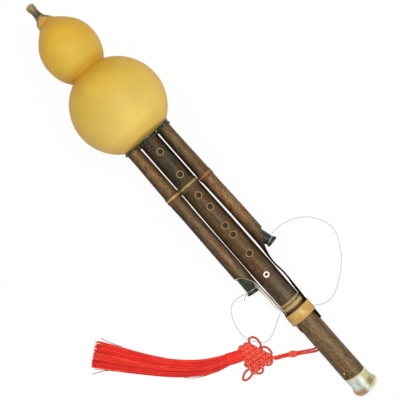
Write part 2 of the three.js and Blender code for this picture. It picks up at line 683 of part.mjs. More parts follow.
// Rings of points joined into one closed body
function loft(rings) {
  const count = rings[0].length;
  const points = rings.flat();
  const triangles = [];
  for (let r = 0; r < rings.length - 1; r++) {
    for (let i = 0; i < count; i++) {
      const [a, b] = [r * count + i, r * count + ((i + 1) % count)];
      triangles.push(a, b, a + count, b, b + count, a + count);
    }
  }
  [0, rings.length - 1].forEach((r, end) => {
    const centre = points.length;
    const middle = new THREE.Vector3();
    rings[r].forEach((p) => middle.addScaledVector(p, 1 / count));
    points.push(middle);
    for (let i = 0; i < count; i++) {
      const [a, b] = [r * count + i, r * count + ((i + 1) % count)];
      triangles.push(...(end ? [centre, a, b] : [centre, b, a]));
    }
  });
  const geometry = new THREE.BufferGeometry().setFromPoints(points);
  return geometry.setIndex(triangles);
}

// One section of the foot, round where both radii are the same and four-sided elsewhere
function footRing(station, corner, inradius) {
  const ring = [];
  for (let i = 0; i < footPoints; i++) {
    const angle = (i / footPoints) * 2 * Math.PI;
    const share = Math.abs(Math.cos(2 * angle)) ** foot.squareness;
    const edge = Math.cos(2 * angle) > 0 ? share : -share;
    const radius = (corner + inradius) / 2 + (edge * (corner - inradius)) / 2;
    const across = angle + turn(foot.turn);
    ring.push(new THREE.Vector3(station, radius * Math.sin(across), radius * Math.cos(across)));
  }
  return ring;
}

function footBell() {
  const f = foot;
  const middle = (footWaist + footWide) / 2;
  const outside = loft([
    footRing(footStart, f.neckRadius, f.neckRadius),
    footRing(footWaist, f.neckRadius, f.waistInradius),
    footRing(middle, (f.neckRadius + f.wideRadius) / 2 - gap, f.waistInradius),
    footRing(footWide, f.wideRadius, f.wideInradius),
    footRing(footLip, f.lipRadius, f.wideInradius),
    footRing(footEnd, f.endRadius, f.endInradius),
  ]);
  const start = footStart - f.spigotLength;
  const spigot = rod(start, footWaist, f.spigotRadius, 28);
  const bore = turned([
    [start - overrun, 0], [start - overrun, f.bore],
    [footWaist, f.bore], [footWide, (f.bore + f.mouthRadius) / 2],
    [footEnd, f.mouthRadius], [footEnd + overrun, f.mouthRadius + overrun / 2],
    [footEnd + overrun, 0],
  ], 28);
  return solid(outside).add(solid(spigot)).subtract(solid(bore));
}

// The instrument leans until the bulb and the foot's rest both touch the table
const footSpan = footWide - bigBulb.station;
const footReach = Math.hypot(footSpan, foot.restDepth);
const lean = Math.asin(bigBulb.radius / footReach) - Math.atan2(foot.restDepth, footSpan);
const axisHeight = bigBulb.radius + bigBulb.station * Math.sin(lean); // of the axis at station 0

// The foot is dressed flat where it rests
function restedFoot() {
  const flat = block(0, 0, 0, 4 * footReach, 4 * foot.wideRadius, 4 * foot.wideRadius)
    .translate(0, 0, -2 * foot.wideRadius - axisHeight)
    .rotateY(-lean);
  return footBell().subtract(solid(flat));
}

// Colours and finishes
const finish = (color, roughness, metalness = 0) =>
  new THREE.MeshStandardMaterial({ color, roughness, metalness });
const looks = {
  gourd: finish(0xdeb446, 0.45),
  horn: finish(0x28302a, 0.25),
  paleHorn: finish(0xd7dcc8, 0.3),
  bamboo: finish(0x463c30, 0.4),
  droneBamboo: finish(0x825f3c, 0.4),
  bone: finish(0xefe6cf, 0.35),
  brass: finish(0xb8963c, 0.35, 1),
  strip: finish(0xbe8c46, 0.5),
  redCord: finish(0xe63228, 0.7),
  thread: finish(0xd8d8d4, 0.6),
};

function piece(name, shape, material) {
  const mesh = new THREE.Mesh(geometryOf(shape), material);
  mesh.name = name;
  return mesh;
}

// A tube of one diameter along a smooth route
function tube(route, diameter, steps, sides) {
  const shape = new THREE.Shape();
  for (let i = 0; i < sides; i++) {
    const angle = (i / sides) * 2 * Math.PI;
    const [x, y] = [(Math.cos(angle) * diameter) / 2, (Math.sin(angle) * diameter) / 2];
    if (i) shape.lineTo(x, y);
    else shape.moveTo(x, y);
  }
  return new THREE.ExtrudeGeometry(shape, { steps, extrudePath: route, bevelEnabled: false });
}

const cordSteps = (points) => Math.round(stepsPerPoint * points.length);

function cordTube(name) {
  const diameter = name.endsWith("thread") ? threadDiameter : cordDiameter;
  const points = cordRoutes[name].map(([x, y, z]) => new THREE.Vector3(x, y, z));
  return solid(tube(new THREE.CatmullRomCurve3(points), diameter, cordSteps(points), cordSides));
}

// Two round turns of cord side by side
function smallKnot() {
  const k = buttonKnot;
  const half = k.length / 2;
  const [shoulder, dip] = [turnShares.shoulder * half, turnShares.dip * half];
  const outline = [
    [-half, 0], [-half, k.waist], [-shoulder, k.radius], [-dip, k.radius],
    [0, k.waist], [dip, k.radius], [shoulder, k.radius], [half, k.waist], [half, 0],
  ];
  return solid(turned(outline, 12).rotateZ(turn(k.heading)).translate(k.x, k.y, k.z));
}

// A place on the knot's slanted square, from shares along its two sides
function onKnot(along, down) {
  const [a, b, c, d] = latticeKnot.corners.map(([x, y]) => new THREE.Vector2(x, y));
  return a.lerp(b, along).lerp(d.lerp(c, along), down);
}

// A loop of cord that leaves one side of the knot and comes back to it
function cordLoop({ edge, from, to, reach, slant, steps }, height) {
  const corners = latticeKnot.corners.map(([x, y]) => new THREE.Vector2(x, y));
  const [start, end] = [corners[edge], corners[(edge + 1) % corners.length]];
  const run = end.clone().sub(start).normalize();
  const out = new THREE.Vector2(-run.y, run.x);
  const [a, b] = [start.clone().lerp(end, from), start.clone().lerp(end, to)];
  const width = a.distanceTo(b);
  const at = (base, along, away) => {
    const p = base.clone().addScaledVector(run, along).addScaledVector(out, away);
    return new THREE.Vector3(p.x, p.y, height);
  };
  const middle = a.clone().lerp(b, 0.5);
  const far = reach - latticeKnot.cord / 2;
  const flare = width * loopShares.flare;
  const half = width * loopShares.crownWidth;
  const [tilt, low] = [slant * loopShares.shoulder, far * loopShares.shoulder];
  const high = far * loopShares.crown;
  const route = new THREE.CatmullRomCurve3([
    at(a, flare, -latticeKnot.cord / 4), at(a, tilt - flare, low), at(middle, slant - half, high),
    at(middle, slant, far),
    at(middle, slant + half, high), at(b, tilt + flare, low), at(b, -flare, -latticeKnot.cord / 4),
  ]);
  return tube(route, latticeKnot.cord, steps, latticeKnot.sides);
}

// The pan-chang knot: strands woven over and under each other, with loops round the edge
function panChangKnot() {
  const k = latticeKnot;
  const middle = k.cord / 2 + k.rise + k.lift;
  const last = k.strands - 1;
  const shapes = [];
  for (const across of [false, true]) {
    for (let row = 0; row <= last; row++) {
      const points = [];
      for (let i = 0; i <= k.steps; i++) {
        const share = i / k.steps;
        const place = across ? onKnot(row / last, share) : onKnot(share, row / last);
        const wave = Math.cos(Math.PI * (share * last + row));
        points.push(new THREE.Vector3(place.x, place.y, middle + (across ? -wave : wave) * k.rise));
      }
      const route = new THREE.CatmullRomCurve3(points);
      shapes.push(solid(tube(route, k.cord, k.steps, k.sides)));
    }
  }
  knotLoops.forEach((loop) => shapes.push(solid(cordLoop(loop, middle))));
  return joined(shapes);
}

// The bound head of the tassel
function boundHead() {
  const h = tasselHead;
  const run = new THREE.Vector2(h.to[0] - h.from[0], h.to[1] - h.from[1]);
  const length = run.length();
  const outline = [
    [0, 0], [0, h.neck], [length * headShares.collar, h.radius * headShares.collarRadius],
    [length * headShares.full, h.radius], [length * headShares.end, h.radius],
    [length, h.radius - h.ridge], [length, 0],
  ];
  return solid(turned(outline, 14).rotateZ(run.angle()).translate(...h.from, h.radius));
}

// The tassel's skirt of loose strands, as the low mound that they fill
function skirtMound() {
  const { route, halfWidths, heights, points } = tasselSkirt;
  const rings = route.map(([x, y], i) => {
    const before = route[Math.max(0, i - 1)];
    const after = route[Math.min(route.length - 1, i + 1)];
    const out = new THREE.Vector2(after[0] - before[0], after[1] - before[1])
      .normalize().rotateAround(new THREE.Vector2(), Math.PI / 2);
    const ring = [];
    for (let j = 0; j < points; j++) {
      const angle = (j / points) * 2 * Math.PI;
      const side = halfWidths[i] * Math.cos(angle);
      const lift = (heights[i] / 2) * (1 + Math.sin(angle));
      ring.push(new THREE.Vector3(x + out.x * side, y + out.y * side, lift));
    }
    return ring;
  });
  return solid(loft(rings));
}

const instrument = new THREE.Group();
const pipes = new THREE.Group();
pipes.position.y = pipesAside;
instrument.add(
  piece("gourd_shell", gourdShell(), looks.gourd),
  piece("mouthpiece", mouthpieceNib(), looks.horn),
  pipes,
);
pipes.add(
  piece("melody_pipe", melodyPipe(), looks.bamboo),
  piece("melody_collar", melodyCollar(), looks.horn),
  piece("hole_bushing", holeBushing(), looks.bone),
  piece("binding_band", bindingBand(), looks.strip),
  piece("foot_bell", restedFoot(), looks.paleHorn),
  piece("melody_reed", reedPlateOf(reeds.melody, melody.flat, 0), looks.brass),
);
for (const name of ["left", "right"]) {
  const y = drones[name].side * pitch;
  pipes.add(
    piece(`${name}_drone_pipe`, dronePipe(name), looks.droneBamboo),
    piece(`${name}_drone_collar`, droneCollar(name), looks.horn),
    piece(`${name}_drone_reed`, reedPlateOf(reeds.drone, drone.flat, y), looks.brass),
    piece(`${name}_plug`, plugBody(name), looks.horn),
    piece(`${name}_plug_binding`, plugBinding(name), looks.thread),
  );
}
instrument.rotation.y = lean;
instrument.position.z = axisHeight;

const onTable = new THREE.Group();
for (const name of Object.keys(cordRoutes)) {
  onTable.add(piece(name, cordTube(name), name.endsWith("thread") ? looks.thread : looks.redCord));
}
onTable.add(
  piece("small_knot", smallKnot(), looks.redCord),
  piece("pan_chang_knot", panChangKnot(), looks.redCord),
  piece("tassel_head", boundHead(), looks.redCord),
  piece("tassel_skirt", skirtMound(), looks.redCord),
);

// The origin is under the middle of the instrument, on the table
instrument.updateMatrixWorld(true);
const middle = new THREE.Box3().setFromObject(instrument, true).getCenter(new THREE.Vector3());
instrument.position.x = -middle.x;
onTable.position.x = -middle.x;

const hulusi = new THREE.Group();
hulusi.add(instrument, onTable);

export default hulusi;
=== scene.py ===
import json
import random
from functools import cache, cached_property
from itertools import accumulate
from math import acos, asin, atan, atan2, copysign, cos, hypot, pi, radians, sin, sqrt, tan

import bmesh
import bpy
from mathutils import Matrix, Vector, noise
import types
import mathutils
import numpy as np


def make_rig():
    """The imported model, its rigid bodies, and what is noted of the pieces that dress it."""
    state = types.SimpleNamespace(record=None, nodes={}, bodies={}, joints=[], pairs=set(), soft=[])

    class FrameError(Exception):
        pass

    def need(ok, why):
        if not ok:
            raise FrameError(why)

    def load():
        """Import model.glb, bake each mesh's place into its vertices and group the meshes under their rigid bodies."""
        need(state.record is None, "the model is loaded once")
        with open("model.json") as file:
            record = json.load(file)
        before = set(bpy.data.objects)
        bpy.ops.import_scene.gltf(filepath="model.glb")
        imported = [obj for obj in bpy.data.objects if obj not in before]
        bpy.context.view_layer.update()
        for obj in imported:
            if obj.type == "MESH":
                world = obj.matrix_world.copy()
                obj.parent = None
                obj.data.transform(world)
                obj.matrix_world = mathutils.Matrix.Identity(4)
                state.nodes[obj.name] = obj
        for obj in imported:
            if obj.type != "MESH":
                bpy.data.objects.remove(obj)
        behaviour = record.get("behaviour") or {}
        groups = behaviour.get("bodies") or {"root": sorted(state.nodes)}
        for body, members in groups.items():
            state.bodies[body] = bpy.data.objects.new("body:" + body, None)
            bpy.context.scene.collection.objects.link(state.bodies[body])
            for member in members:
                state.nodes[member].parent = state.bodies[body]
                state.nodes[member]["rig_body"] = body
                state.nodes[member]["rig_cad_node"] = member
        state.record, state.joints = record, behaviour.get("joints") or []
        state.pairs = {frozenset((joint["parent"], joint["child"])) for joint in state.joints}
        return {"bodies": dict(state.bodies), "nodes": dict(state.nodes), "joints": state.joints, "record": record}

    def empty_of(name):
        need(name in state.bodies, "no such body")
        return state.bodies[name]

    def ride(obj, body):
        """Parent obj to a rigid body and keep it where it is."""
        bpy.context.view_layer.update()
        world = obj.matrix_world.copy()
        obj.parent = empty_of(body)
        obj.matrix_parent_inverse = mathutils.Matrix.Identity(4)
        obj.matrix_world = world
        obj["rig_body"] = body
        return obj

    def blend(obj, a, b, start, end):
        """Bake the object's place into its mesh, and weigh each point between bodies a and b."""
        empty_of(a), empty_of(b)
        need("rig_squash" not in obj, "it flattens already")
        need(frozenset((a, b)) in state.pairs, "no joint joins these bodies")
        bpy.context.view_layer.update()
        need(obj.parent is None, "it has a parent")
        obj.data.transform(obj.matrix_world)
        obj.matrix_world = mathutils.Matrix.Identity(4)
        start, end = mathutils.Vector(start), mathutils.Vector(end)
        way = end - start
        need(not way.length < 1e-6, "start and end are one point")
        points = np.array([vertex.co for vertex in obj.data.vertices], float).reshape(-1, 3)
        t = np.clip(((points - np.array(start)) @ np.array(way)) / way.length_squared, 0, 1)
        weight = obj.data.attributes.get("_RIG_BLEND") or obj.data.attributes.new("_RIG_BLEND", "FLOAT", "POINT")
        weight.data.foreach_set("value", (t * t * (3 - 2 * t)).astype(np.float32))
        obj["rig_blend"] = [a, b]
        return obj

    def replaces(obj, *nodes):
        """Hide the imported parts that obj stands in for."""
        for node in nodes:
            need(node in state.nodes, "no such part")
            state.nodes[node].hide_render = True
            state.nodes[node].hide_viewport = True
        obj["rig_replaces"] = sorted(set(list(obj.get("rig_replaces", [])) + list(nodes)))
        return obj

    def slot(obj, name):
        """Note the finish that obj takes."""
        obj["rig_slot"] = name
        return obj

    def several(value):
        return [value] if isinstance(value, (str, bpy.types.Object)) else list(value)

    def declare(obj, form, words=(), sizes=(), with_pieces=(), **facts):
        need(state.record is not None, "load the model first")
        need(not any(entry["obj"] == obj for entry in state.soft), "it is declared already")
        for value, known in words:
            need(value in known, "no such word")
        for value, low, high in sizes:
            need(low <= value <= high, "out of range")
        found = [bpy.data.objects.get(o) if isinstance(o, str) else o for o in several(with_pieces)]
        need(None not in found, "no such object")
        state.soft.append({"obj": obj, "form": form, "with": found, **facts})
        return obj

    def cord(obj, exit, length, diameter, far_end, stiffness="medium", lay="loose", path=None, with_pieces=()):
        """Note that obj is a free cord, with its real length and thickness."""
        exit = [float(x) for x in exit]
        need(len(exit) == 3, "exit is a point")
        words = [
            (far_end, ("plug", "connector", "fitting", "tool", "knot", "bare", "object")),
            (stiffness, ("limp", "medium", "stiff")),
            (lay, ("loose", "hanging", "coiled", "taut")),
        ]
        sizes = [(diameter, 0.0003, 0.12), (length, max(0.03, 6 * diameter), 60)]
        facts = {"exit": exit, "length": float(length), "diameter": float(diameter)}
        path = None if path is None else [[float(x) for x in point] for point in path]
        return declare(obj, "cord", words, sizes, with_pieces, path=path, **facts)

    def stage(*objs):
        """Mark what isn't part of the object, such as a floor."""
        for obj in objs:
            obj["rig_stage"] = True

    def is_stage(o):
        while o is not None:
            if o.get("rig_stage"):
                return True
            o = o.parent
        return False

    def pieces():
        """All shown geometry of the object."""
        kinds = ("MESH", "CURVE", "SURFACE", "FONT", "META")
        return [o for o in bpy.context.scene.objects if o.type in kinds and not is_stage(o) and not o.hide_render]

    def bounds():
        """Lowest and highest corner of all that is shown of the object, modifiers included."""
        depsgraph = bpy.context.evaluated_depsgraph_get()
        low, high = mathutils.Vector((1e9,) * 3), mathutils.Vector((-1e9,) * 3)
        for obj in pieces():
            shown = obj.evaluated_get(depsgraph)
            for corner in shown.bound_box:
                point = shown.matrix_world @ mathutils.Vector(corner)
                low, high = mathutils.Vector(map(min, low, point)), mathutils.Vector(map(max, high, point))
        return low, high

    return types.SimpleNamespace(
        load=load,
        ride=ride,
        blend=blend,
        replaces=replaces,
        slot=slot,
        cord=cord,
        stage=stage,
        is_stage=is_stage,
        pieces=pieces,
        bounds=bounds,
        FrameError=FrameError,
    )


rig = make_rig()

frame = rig.load()
cad_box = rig.bounds()

MM = 0.001
rng = random.Random(7)

# Gourd: two bulbs that meet in a waist, the small one leaning a little
BULB, BULB_RADIUS = 1.2, 41.3
BULB_SHOULDER_RADIUS, BULB_FLOOR_RADIUS, FLOOR_BULGE = 23, 18, 1.5
WAIST_RADIUS, GOURD_WALL, GOURD_NECK, MOUTH_RADIUS, MOUTH_DEPTH = 16.8, 2.6, 8, 3.9, 12
SKIN_WAVES, SKIN_RELIEF = 28, 0.00018  # waves to a metre, and metres
OVERRUN = 3  # how far a cutter reaches past what it cuts
SMALL_BULB_RADIUS, SMALL_BULB_STRETCH, SMALL_BULB_LEAN = 25.6, 1.24, radians(1.4)
FLOOR = BULB + sqrt(BULB_RADIUS ** 2 - BULB_SHOULDER_RADIUS ** 2) + FLOOR_BULGE
WAIST = BULB - sqrt(BULB_RADIUS ** 2 - WAIST_RADIUS ** 2)
WAIST_ANGLE = acos(WAIST_RADIUS / SMALL_BULB_RADIUS)
SMALL_BULB = WAIST - SMALL_BULB_STRETCH * sin(WAIST_ANGLE) * SMALL_BULB_RADIUS
GOURD_TIP = SMALL_BULB - 1.3 * SMALL_BULB_RADIUS
SMALL_BULB_SHARES = [
    (-1.3, 0.219), (-1.2, 0.28), (-1.05, 0.45), (-0.785, 0.712), (-0.523, 0.886), (-0.2, 0.985),
    (0.05, 1),
    *[(SMALL_BULB_STRETCH * sin(k * WAIST_ANGLE / 3), cos(k * WAIST_ANGLE / 3))
      for k in (1, 2, 3)],
]

# Mouthpiece, from its tip
NIB_LENGTH, NIB_ASIDE, NIB_TILT = 19.4, -0.6, radians(2.3)
NIB_TIP = GOURD_TIP - NIB_LENGTH
NIB_DRAWN_IN, NIB_NECK, NIB_TENON, NIB_SEAM = 1.7, 12.45, 3.6, 0.02
NIB_PROFILE = [
    (0, 1.5), (0, 2.25), (0.15, 2.85), (0.5, 3.45), (1, 3.78), (1.7, 3.95), (3.2, 4), (5, 3.92),
    (6.2, 3.6), (7.4, 3.32), (9.5, 3.3), (NIB_NECK, 3.57), (14.2, 3.98), (15.6, 4.56), (16.8, 5.2),
    (17.7, 5.91), (18.5, 6.55), (19.1, 7.08), (20.2, 7.5), (21.5, 7.7), (23, 7.8), (23.4, 7.7),
    (23.6, 7.4), (23.6, NIB_TENON), (28.1, NIB_TENON), (28.1, 1.5), (0, 1.5),
]

# Melody pipe
PIPES_ASIDE = -0.3
PIPE_TOP, SHOULDER, PIPE_END = FLOOR - 30.5, FLOOR + 1, 301.3
PIPE_TOP_RADIUS, PIPE_END_RADIUS = 9, 9.75
MELODY_SWELL = [
    (84, 0), (104, 0.12), (134, 0.45), (182, 0.45), (210, 0.05), (240, 0), (246, 0.2), (262, 0.2),
    (276, 0.05), (288, 0.12), (298, 0.12), (300, 0),
]
PIPE_TENON, PIPE_BORE, PIPE_SEPTUM = 8.6, 5.8, 3
CORE = 0.6  # the least radius of a turned body's closed end
NODE, LOWER_NODE = 90.4, 222
NODE_RIDGE, LOWER_RIDGE, DRONE_RIDGE = (0.55, 3.6), (0.25, 4.6), (0.5, 3.8)  # height, half width
FINGER_HOLES = [
    (54, 5.5), (79, 5.5), (102, 5.5), (115.5, 12), (135.5, 5.5), (145.5, 5.5), (166, 4),
]
HOLE_RADIUS, HOLE_RIM, HOLE_CHAMFER = 2.45, 3.15, 0.6
THUMB_HOLE = 66
BUSHING, BUSHING_TURN, BUSHING_RADIUS, BUSHING_BORE = 188.5, -2, 2.7, 1.25
BUSHING_PROUD, BUSHING_DEPTH = 0.25, 3.3
VENT, VENT_TURN, VENT_RADIUS = 294, -36, 0.85
TASSEL_HOLE, TASSEL_SPREAD, TASSEL_HOLE_RADIUS = 267, 5, 1.3

# Drones, their tongues and plugs
PITCH = 16.3
DRONE_TOP, DRONE_RADIUS, DRONE_BORE = FLOOR - 24, 6.05, 4.7
DRONE_TENON, DRONE_TENON_BORE, DRONE_SEPTUM = 5.4, 3.9, 2.5
FAN, FAN_END, FAN_AT_NODE = 1, 134, 0.4
DRONE_STATIONS = (98, 106, 116, FAN_END, 146)  # rings between the node and the scarf
TONGUE_DEPTH, TONGUE_END = 1.5, 246
SCARF_LENGTH, SCARF_BELLY = 24, 10.5
# For each drone: the radius at its end, its node, the start of its quill cut, how the tongue bows
# out and dips, how far the cut face is rolled up, the plug's station and tilt, the collar's reach,
# how far the tongue's tip closes in, three places where the whole pipe lies closer to the middle
# one, the cut's length, the tongue's three small moves after it, its thickness past the band,
# the bend and sag of the plug's outer end, and how much the pipe swells along its length.
DRONES = {
    "left": dict(side=-1, end=6.5, node=89.7, scarf=175.1, bow=-0.7, dip=-0.2, roll=26,
                 plug=182.4, tilt=9, collar=1.6, close=0.5, closer=(-0.2, -0.55, -0.5),
                 cut=24, after=(0, 0, 0), tail=0.7, bend=0, sag=0,
                 swell=[(80, 0), (87, 0.4), (98, 0.4), (106, 0.12), (116, 0.05), (134, 0.05),
                        (146, 0.15), (176, 0.15), (186, 0)]),
    "right": dict(side=1, end=6.1, node=92.9, scarf=156.2, bow=0.1, dip=-0.9, roll=0,
                  plug=161.6, tilt=26, collar=3.4, close=0.35, closer=(-0.25, -0.05, 0),
                  cut=29, after=(-0.1, -0.5, -0.35), tail=1.5, bend=16, sag=1.1,
                  swell=[(82, 0), (88, 0.25), (95, 0.3), (99, 0), (205, 0), (211, 0.6), (228, 0.5)]),
}
PLUG_MOUTH, PLUG_WAIST, PLUG_WAIST_RADIUS = 5.6, 8.1, 4.45
PLUG_END, PLUG_END_RADIUS = 12.1, 5.35
PLUG_SPIGOT, PLUG_SPIGOT_TIP, PLUG_SPIGOT_LENGTH = 4.2, 3.3, 3.5
PLUG_GROOVE, PLUG_GROOVE_WIDTH = 0.55, 1.3
BINDING_TURNS, BINDING_RADIUS, BINDING_LIFT = 2.2, 0.26, 0.36

# Collars, band and foot
COLLAR_WALL, COLLAR_RIDGE, COLLAR_RIDGE_WIDTH, COLLAR_ROOT = 1.05, 0.35, 1.6, FLOOR - 12.3
MELODY_COLLAR, COLLAR_SPREAD = 4, 2
BAND, BAND_WIDTH, BAND_WALL, BAND_FLAT = 232, 10, 0.7, 4.7
FOOT_START, FOOT_WAIST, FOOT_WIDE, FOOT_END = 301.6, 306, 312.6, 317.7
FOOT_SECTIONS = [
    (301.6, 9.3, 9.3), (301.9, 9.5, 9.5), (303.8, 9.42, 9.2), (306, 9.5, 8.9), (307.7, 9.78, 8.84),
    (309.3, 10.25, 8.9), (311, 10.98, 9.4), (312.6, 11.6, 10), (313.7, 11.62, 10.12),
    (314.8, 11.3, 10), (315.9, 10.75, 9.6), (316.9, 10.05, 9.05), (317.7, 9.3, 8.5),
]
FOOT_TURN, FOOT_REST, FOOT_FLARE = 6, 10.4, [(FOOT_START, 1), (FOOT_WIDE, 1.06)]
FOOT_SPREAD, FOOT_ASIDE = [(FOOT_START, 1.04), (307, 1.08)], [(FOOT_START, 0), (307, 0.45)]
FOOT_SPIGOT, FOOT_SPIGOT_LENGTH, FOOT_BORE, FOOT_MOUTH = 5.5, 10, 4.3, 6.6
GAP = 0.3

# Cords, as points in millimetres from the table under the bulb's centre
CORD, CORD_STEPS, THREAD, THREAD_STEPS = 1.9, 110, 0.5, 150
CORDS = {
    "left": [
        (262.5, -0.3, 8.3), (262.3, -0.3, 5.9), (262, -1.3, 3.3), (262, -4.4, 1.3), (263.4, -8, 0.8),
        (263.6, -11.5, 0.8), (261.6, -15.6, 0.8), (258.9, -20, 1.2), (256.9, -23.3, 2.2),
        (256, -24.6, 2.6), (251.8, -31.4, 2.6), (250.7, -33.6, 2.2), (249.2, -36.8, 1.4),
        (247.8, -39.7, 1.5), (246.6, -42.2, 2.2),
    ],
    "right": [
        (267.5, -0.3, 7.8), (267.3, -0.3, 5.4), (267.1, -1.3, 3), (267, -4.4, 1.2), (266.9, -8.4, 0.8),
        (265.6, -12.8, 0.8), (263.2, -16.8, 0.8), (260.6, -21, 1.2), (258.5, -24.3, 2.2),
        (257.6, -25.6, 2.6), (253.4, -32.4, 2.6), (252.3, -34.6, 2.2), (250.8, -37.7, 1.4),
        (249.5, -40.5, 1.5), (248.3, -43, 2.2),
    ],
}
THREADS = {
    "left": [
        (190, -23.6, 19.9), (189.5, -25.4, 18.6), (188.5, -28.8, 15), (187.8, -32.8, 10.2),
        (188, -36.8, 5.4), (189.5, -40.8, 2), (192.4, -44.4, 0.6), (196.6, -46.9, 0.3),
        (201.4, -48.9, 0.3), (206.4, -50.2, 0.3), (211.6, -50.8, 0.3), (216.4, -50.6, 0.3),
        (220.6, -49.3, 0.3), (223.8, -48, 0.3), (226.7, -45.5, 0.3), (229.7, -43, 0.3),
        (232, -39.9, 0.3), (232.6, -36, 0.5), (231.3, -31.6, 1.6), (228.5, -26, 4.4),
        (225, -20.8, 9), (222.2, -16, 13.7), (220.8, -13.2, 16.6),
    ],
    "right": [
        (166.4, 25.3, 23.2), (165.7, 27.7, 21.5), (165.2, 32.2, 16.2), (165.5, 37.4, 9.4),
        (166.8, 43.4, 3.8), (168.8, 49.2, 1), (172, 55, 0.4), (177, 60.8, 0.3), (183.2, 65.2, 0.3),
        (190, 68.2, 0.3), (197, 69.2, 0.3), (203, 68, 0.3), (208.6, 65.4, 0.3), (214, 62.2, 0.3),
        (219, 59, 0.3), (225.4, 53.2, 0.3), (231.4, 46, 0.4), (236, 39.4, 1), (239.4, 33, 2.8),
        (240.6, 26.6, 6.4), (239.4, 20.6, 11), (237, 16, 14.4), (234.6, 12.5, 16.8),
    ],
}
THREAD_LANDING = 5  # the first point of each thread that lies on the table
TAIL = [(190.1, -23.9, 19.6), (190.9, -25.6, 17.6), (192.1, -27.8, 15), (193.4, -29.8, 12.4)]

# Knots and tassel
BUTTON = dict(x=254.6, y=-28.6, z=3.1, heading=-125, length=7.4, radius=3.1)
KNOT_CORNERS = [(224.1, -51.6), (246.2, -43.2), (244.8, -64.9), (221.9, -61)]
KNOT_PASSES, KNOT_CORD, KNOT_APART, KNOT_RISE, KNOT_MIDDLE = 6, 1.9, 0.9, 0.76, 1.84
KNOT_LOOPS = [  # the edge each leaves, its shares of that edge, how far it reaches and its slant
    (0, 0, 0.41, 8.4, -2.4), (0, 0.53, 0.87, 5.8, -1.6), (1, 0.14, 0.36, 4, 0),
    (1, 0.62, 0.86, 5, 0), (2, 0, 0.22, 11.4, -2.6), (2, 0.3, 0.44, 3.4, 0.5),
    (3, 0.12, 0.42, 2.8, 0), (3, 0.58, 0.88, 3, 0),
]
HEAD_START, HEAD_END, HEAD_RADIUS = (226.9, -62), (221.2, -74.6), 5.3
HEAD_SHARES = [(0, 0.88), (0.08, 0.95), (0.2, 0.98), (0.4, 1), (0.8, 1), (1, 1)]
SKIRT = [
    (221.7, -74.2), (217.9, -84.7), (211.3, -96.5), (202.4, -107.7), (192.4, -118.1),
    (181.7, -127.6), (170.3, -137), (157.6, -147), (143.4, -158.6),
]
SKIRT_HALF_WIDTHS = [5.2, 6.6, 7.3, 7.7, 8.1, 8.8, 9.8, 11.2, 12.6]
SKIRT_HEIGHTS = [9.6, 9.4, 9, 8.4, 7.6, 6.8, 6, 5, 4]
STRANDS, HEAD_STRANDS, STRAND = 520, 150, 0.55

# The photograph's camera, over the instrument's own axis
VIEW_POINT = (105.84, -1.09)
VIEW_DISTANCE, VIEW_FIELD, PHOTO_SIZE = 700, 336, 400
ALONG_IMAGE = (0.6613, -0.7501)
IMAGE_RIGHT = Vector((ALONG_IMAGE[0], -ALONG_IMAGE[1], 0))
IMAGE_UP = Vector((ALONG_IMAGE[1], ALONG_IMAGE[0], 0))

# From the instrument's own frame to the part's frame
FOOT_SPAN = FOOT_WIDE - BULB
LEAN = asin(BULB_RADIUS / hypot(FOOT_SPAN, FOOT_REST)) - atan2(FOOT_REST, FOOT_SPAN)
BULB_PLACE = Vector((-102.11007, 0, BULB_RADIUS + BULB * sin(LEAN))) * MM
TIPPED = Matrix.Translation(BULB_PLACE) @ Matrix.Rotation(LEAN, 4, "Y")
BACK = TIPPED.inverted()


def row(p):
    """A point of the instrument's own frame, in millimetres, in the part's frame."""
    return TIPPED @ (Vector(p) * MM)


def laid(p):
    """The other way: a point of the part's frame in the instrument's own frame."""
    return (BACK @ p) / MM


def pipe_row(p):
    """The same for the pipes, which stand a little to the left of the gourd's axis."""
    return row((p[0], p[1] + PIPES_ASIDE, p[2]))


def gourd_row(p):
    """The same for the gourd, whose small bulb leans from the waist up."""
    return row((p[0], p[1] + max(0, WAIST - p[0]) * tan(SMALL_BULB_LEAN), p[2]))


def nib_row(p):
    """The same for the mouthpiece, which is glued in a little askew."""
    x, y = p[0] - GOURD_TIP, p[1]
    c, s = cos(NIB_TILT), sin(NIB_TILT)
    return row((GOURD_TIP + x * c - y * s, x * s + y * c + NIB_ASIDE, p[2]))


def on_table(p):
    """A point from the table under the bulb's centre, in the part's frame."""
    return Vector((p[0] * MM + BULB_PLACE.x, p[1] * MM, p[2] * MM))


def added(name, data):
    """A new object in the scene."""
    obj = bpy.data.objects.new(name, data)
    bpy.context.scene.collection.objects.link(obj)
    return obj


def make_camera():
    turned = Matrix((IMAGE_RIGHT, IMAGE_UP, Vector((0, 0, 1)))).transposed().to_4x4()
    place = Matrix.Translation(Vector((*VIEW_POINT, VIEW_DISTANCE)) * MM)
    data = bpy.data.cameras.new("camera")
    data.angle = 2 * atan(VIEW_FIELD / 2 / VIEW_DISTANCE)
    camera = added("camera", data)
    camera.matrix_world = TIPPED @ place @ turned
    bpy.context.scene.camera = camera


make_camera()


# Curves
def around(count):
    """Equal angles round a circle."""
    return [2 * pi * i / count for i in range(count)]


def left_of(run):
    """The level direction to the left of another."""
    return Vector((-run.y, run.x, 0))


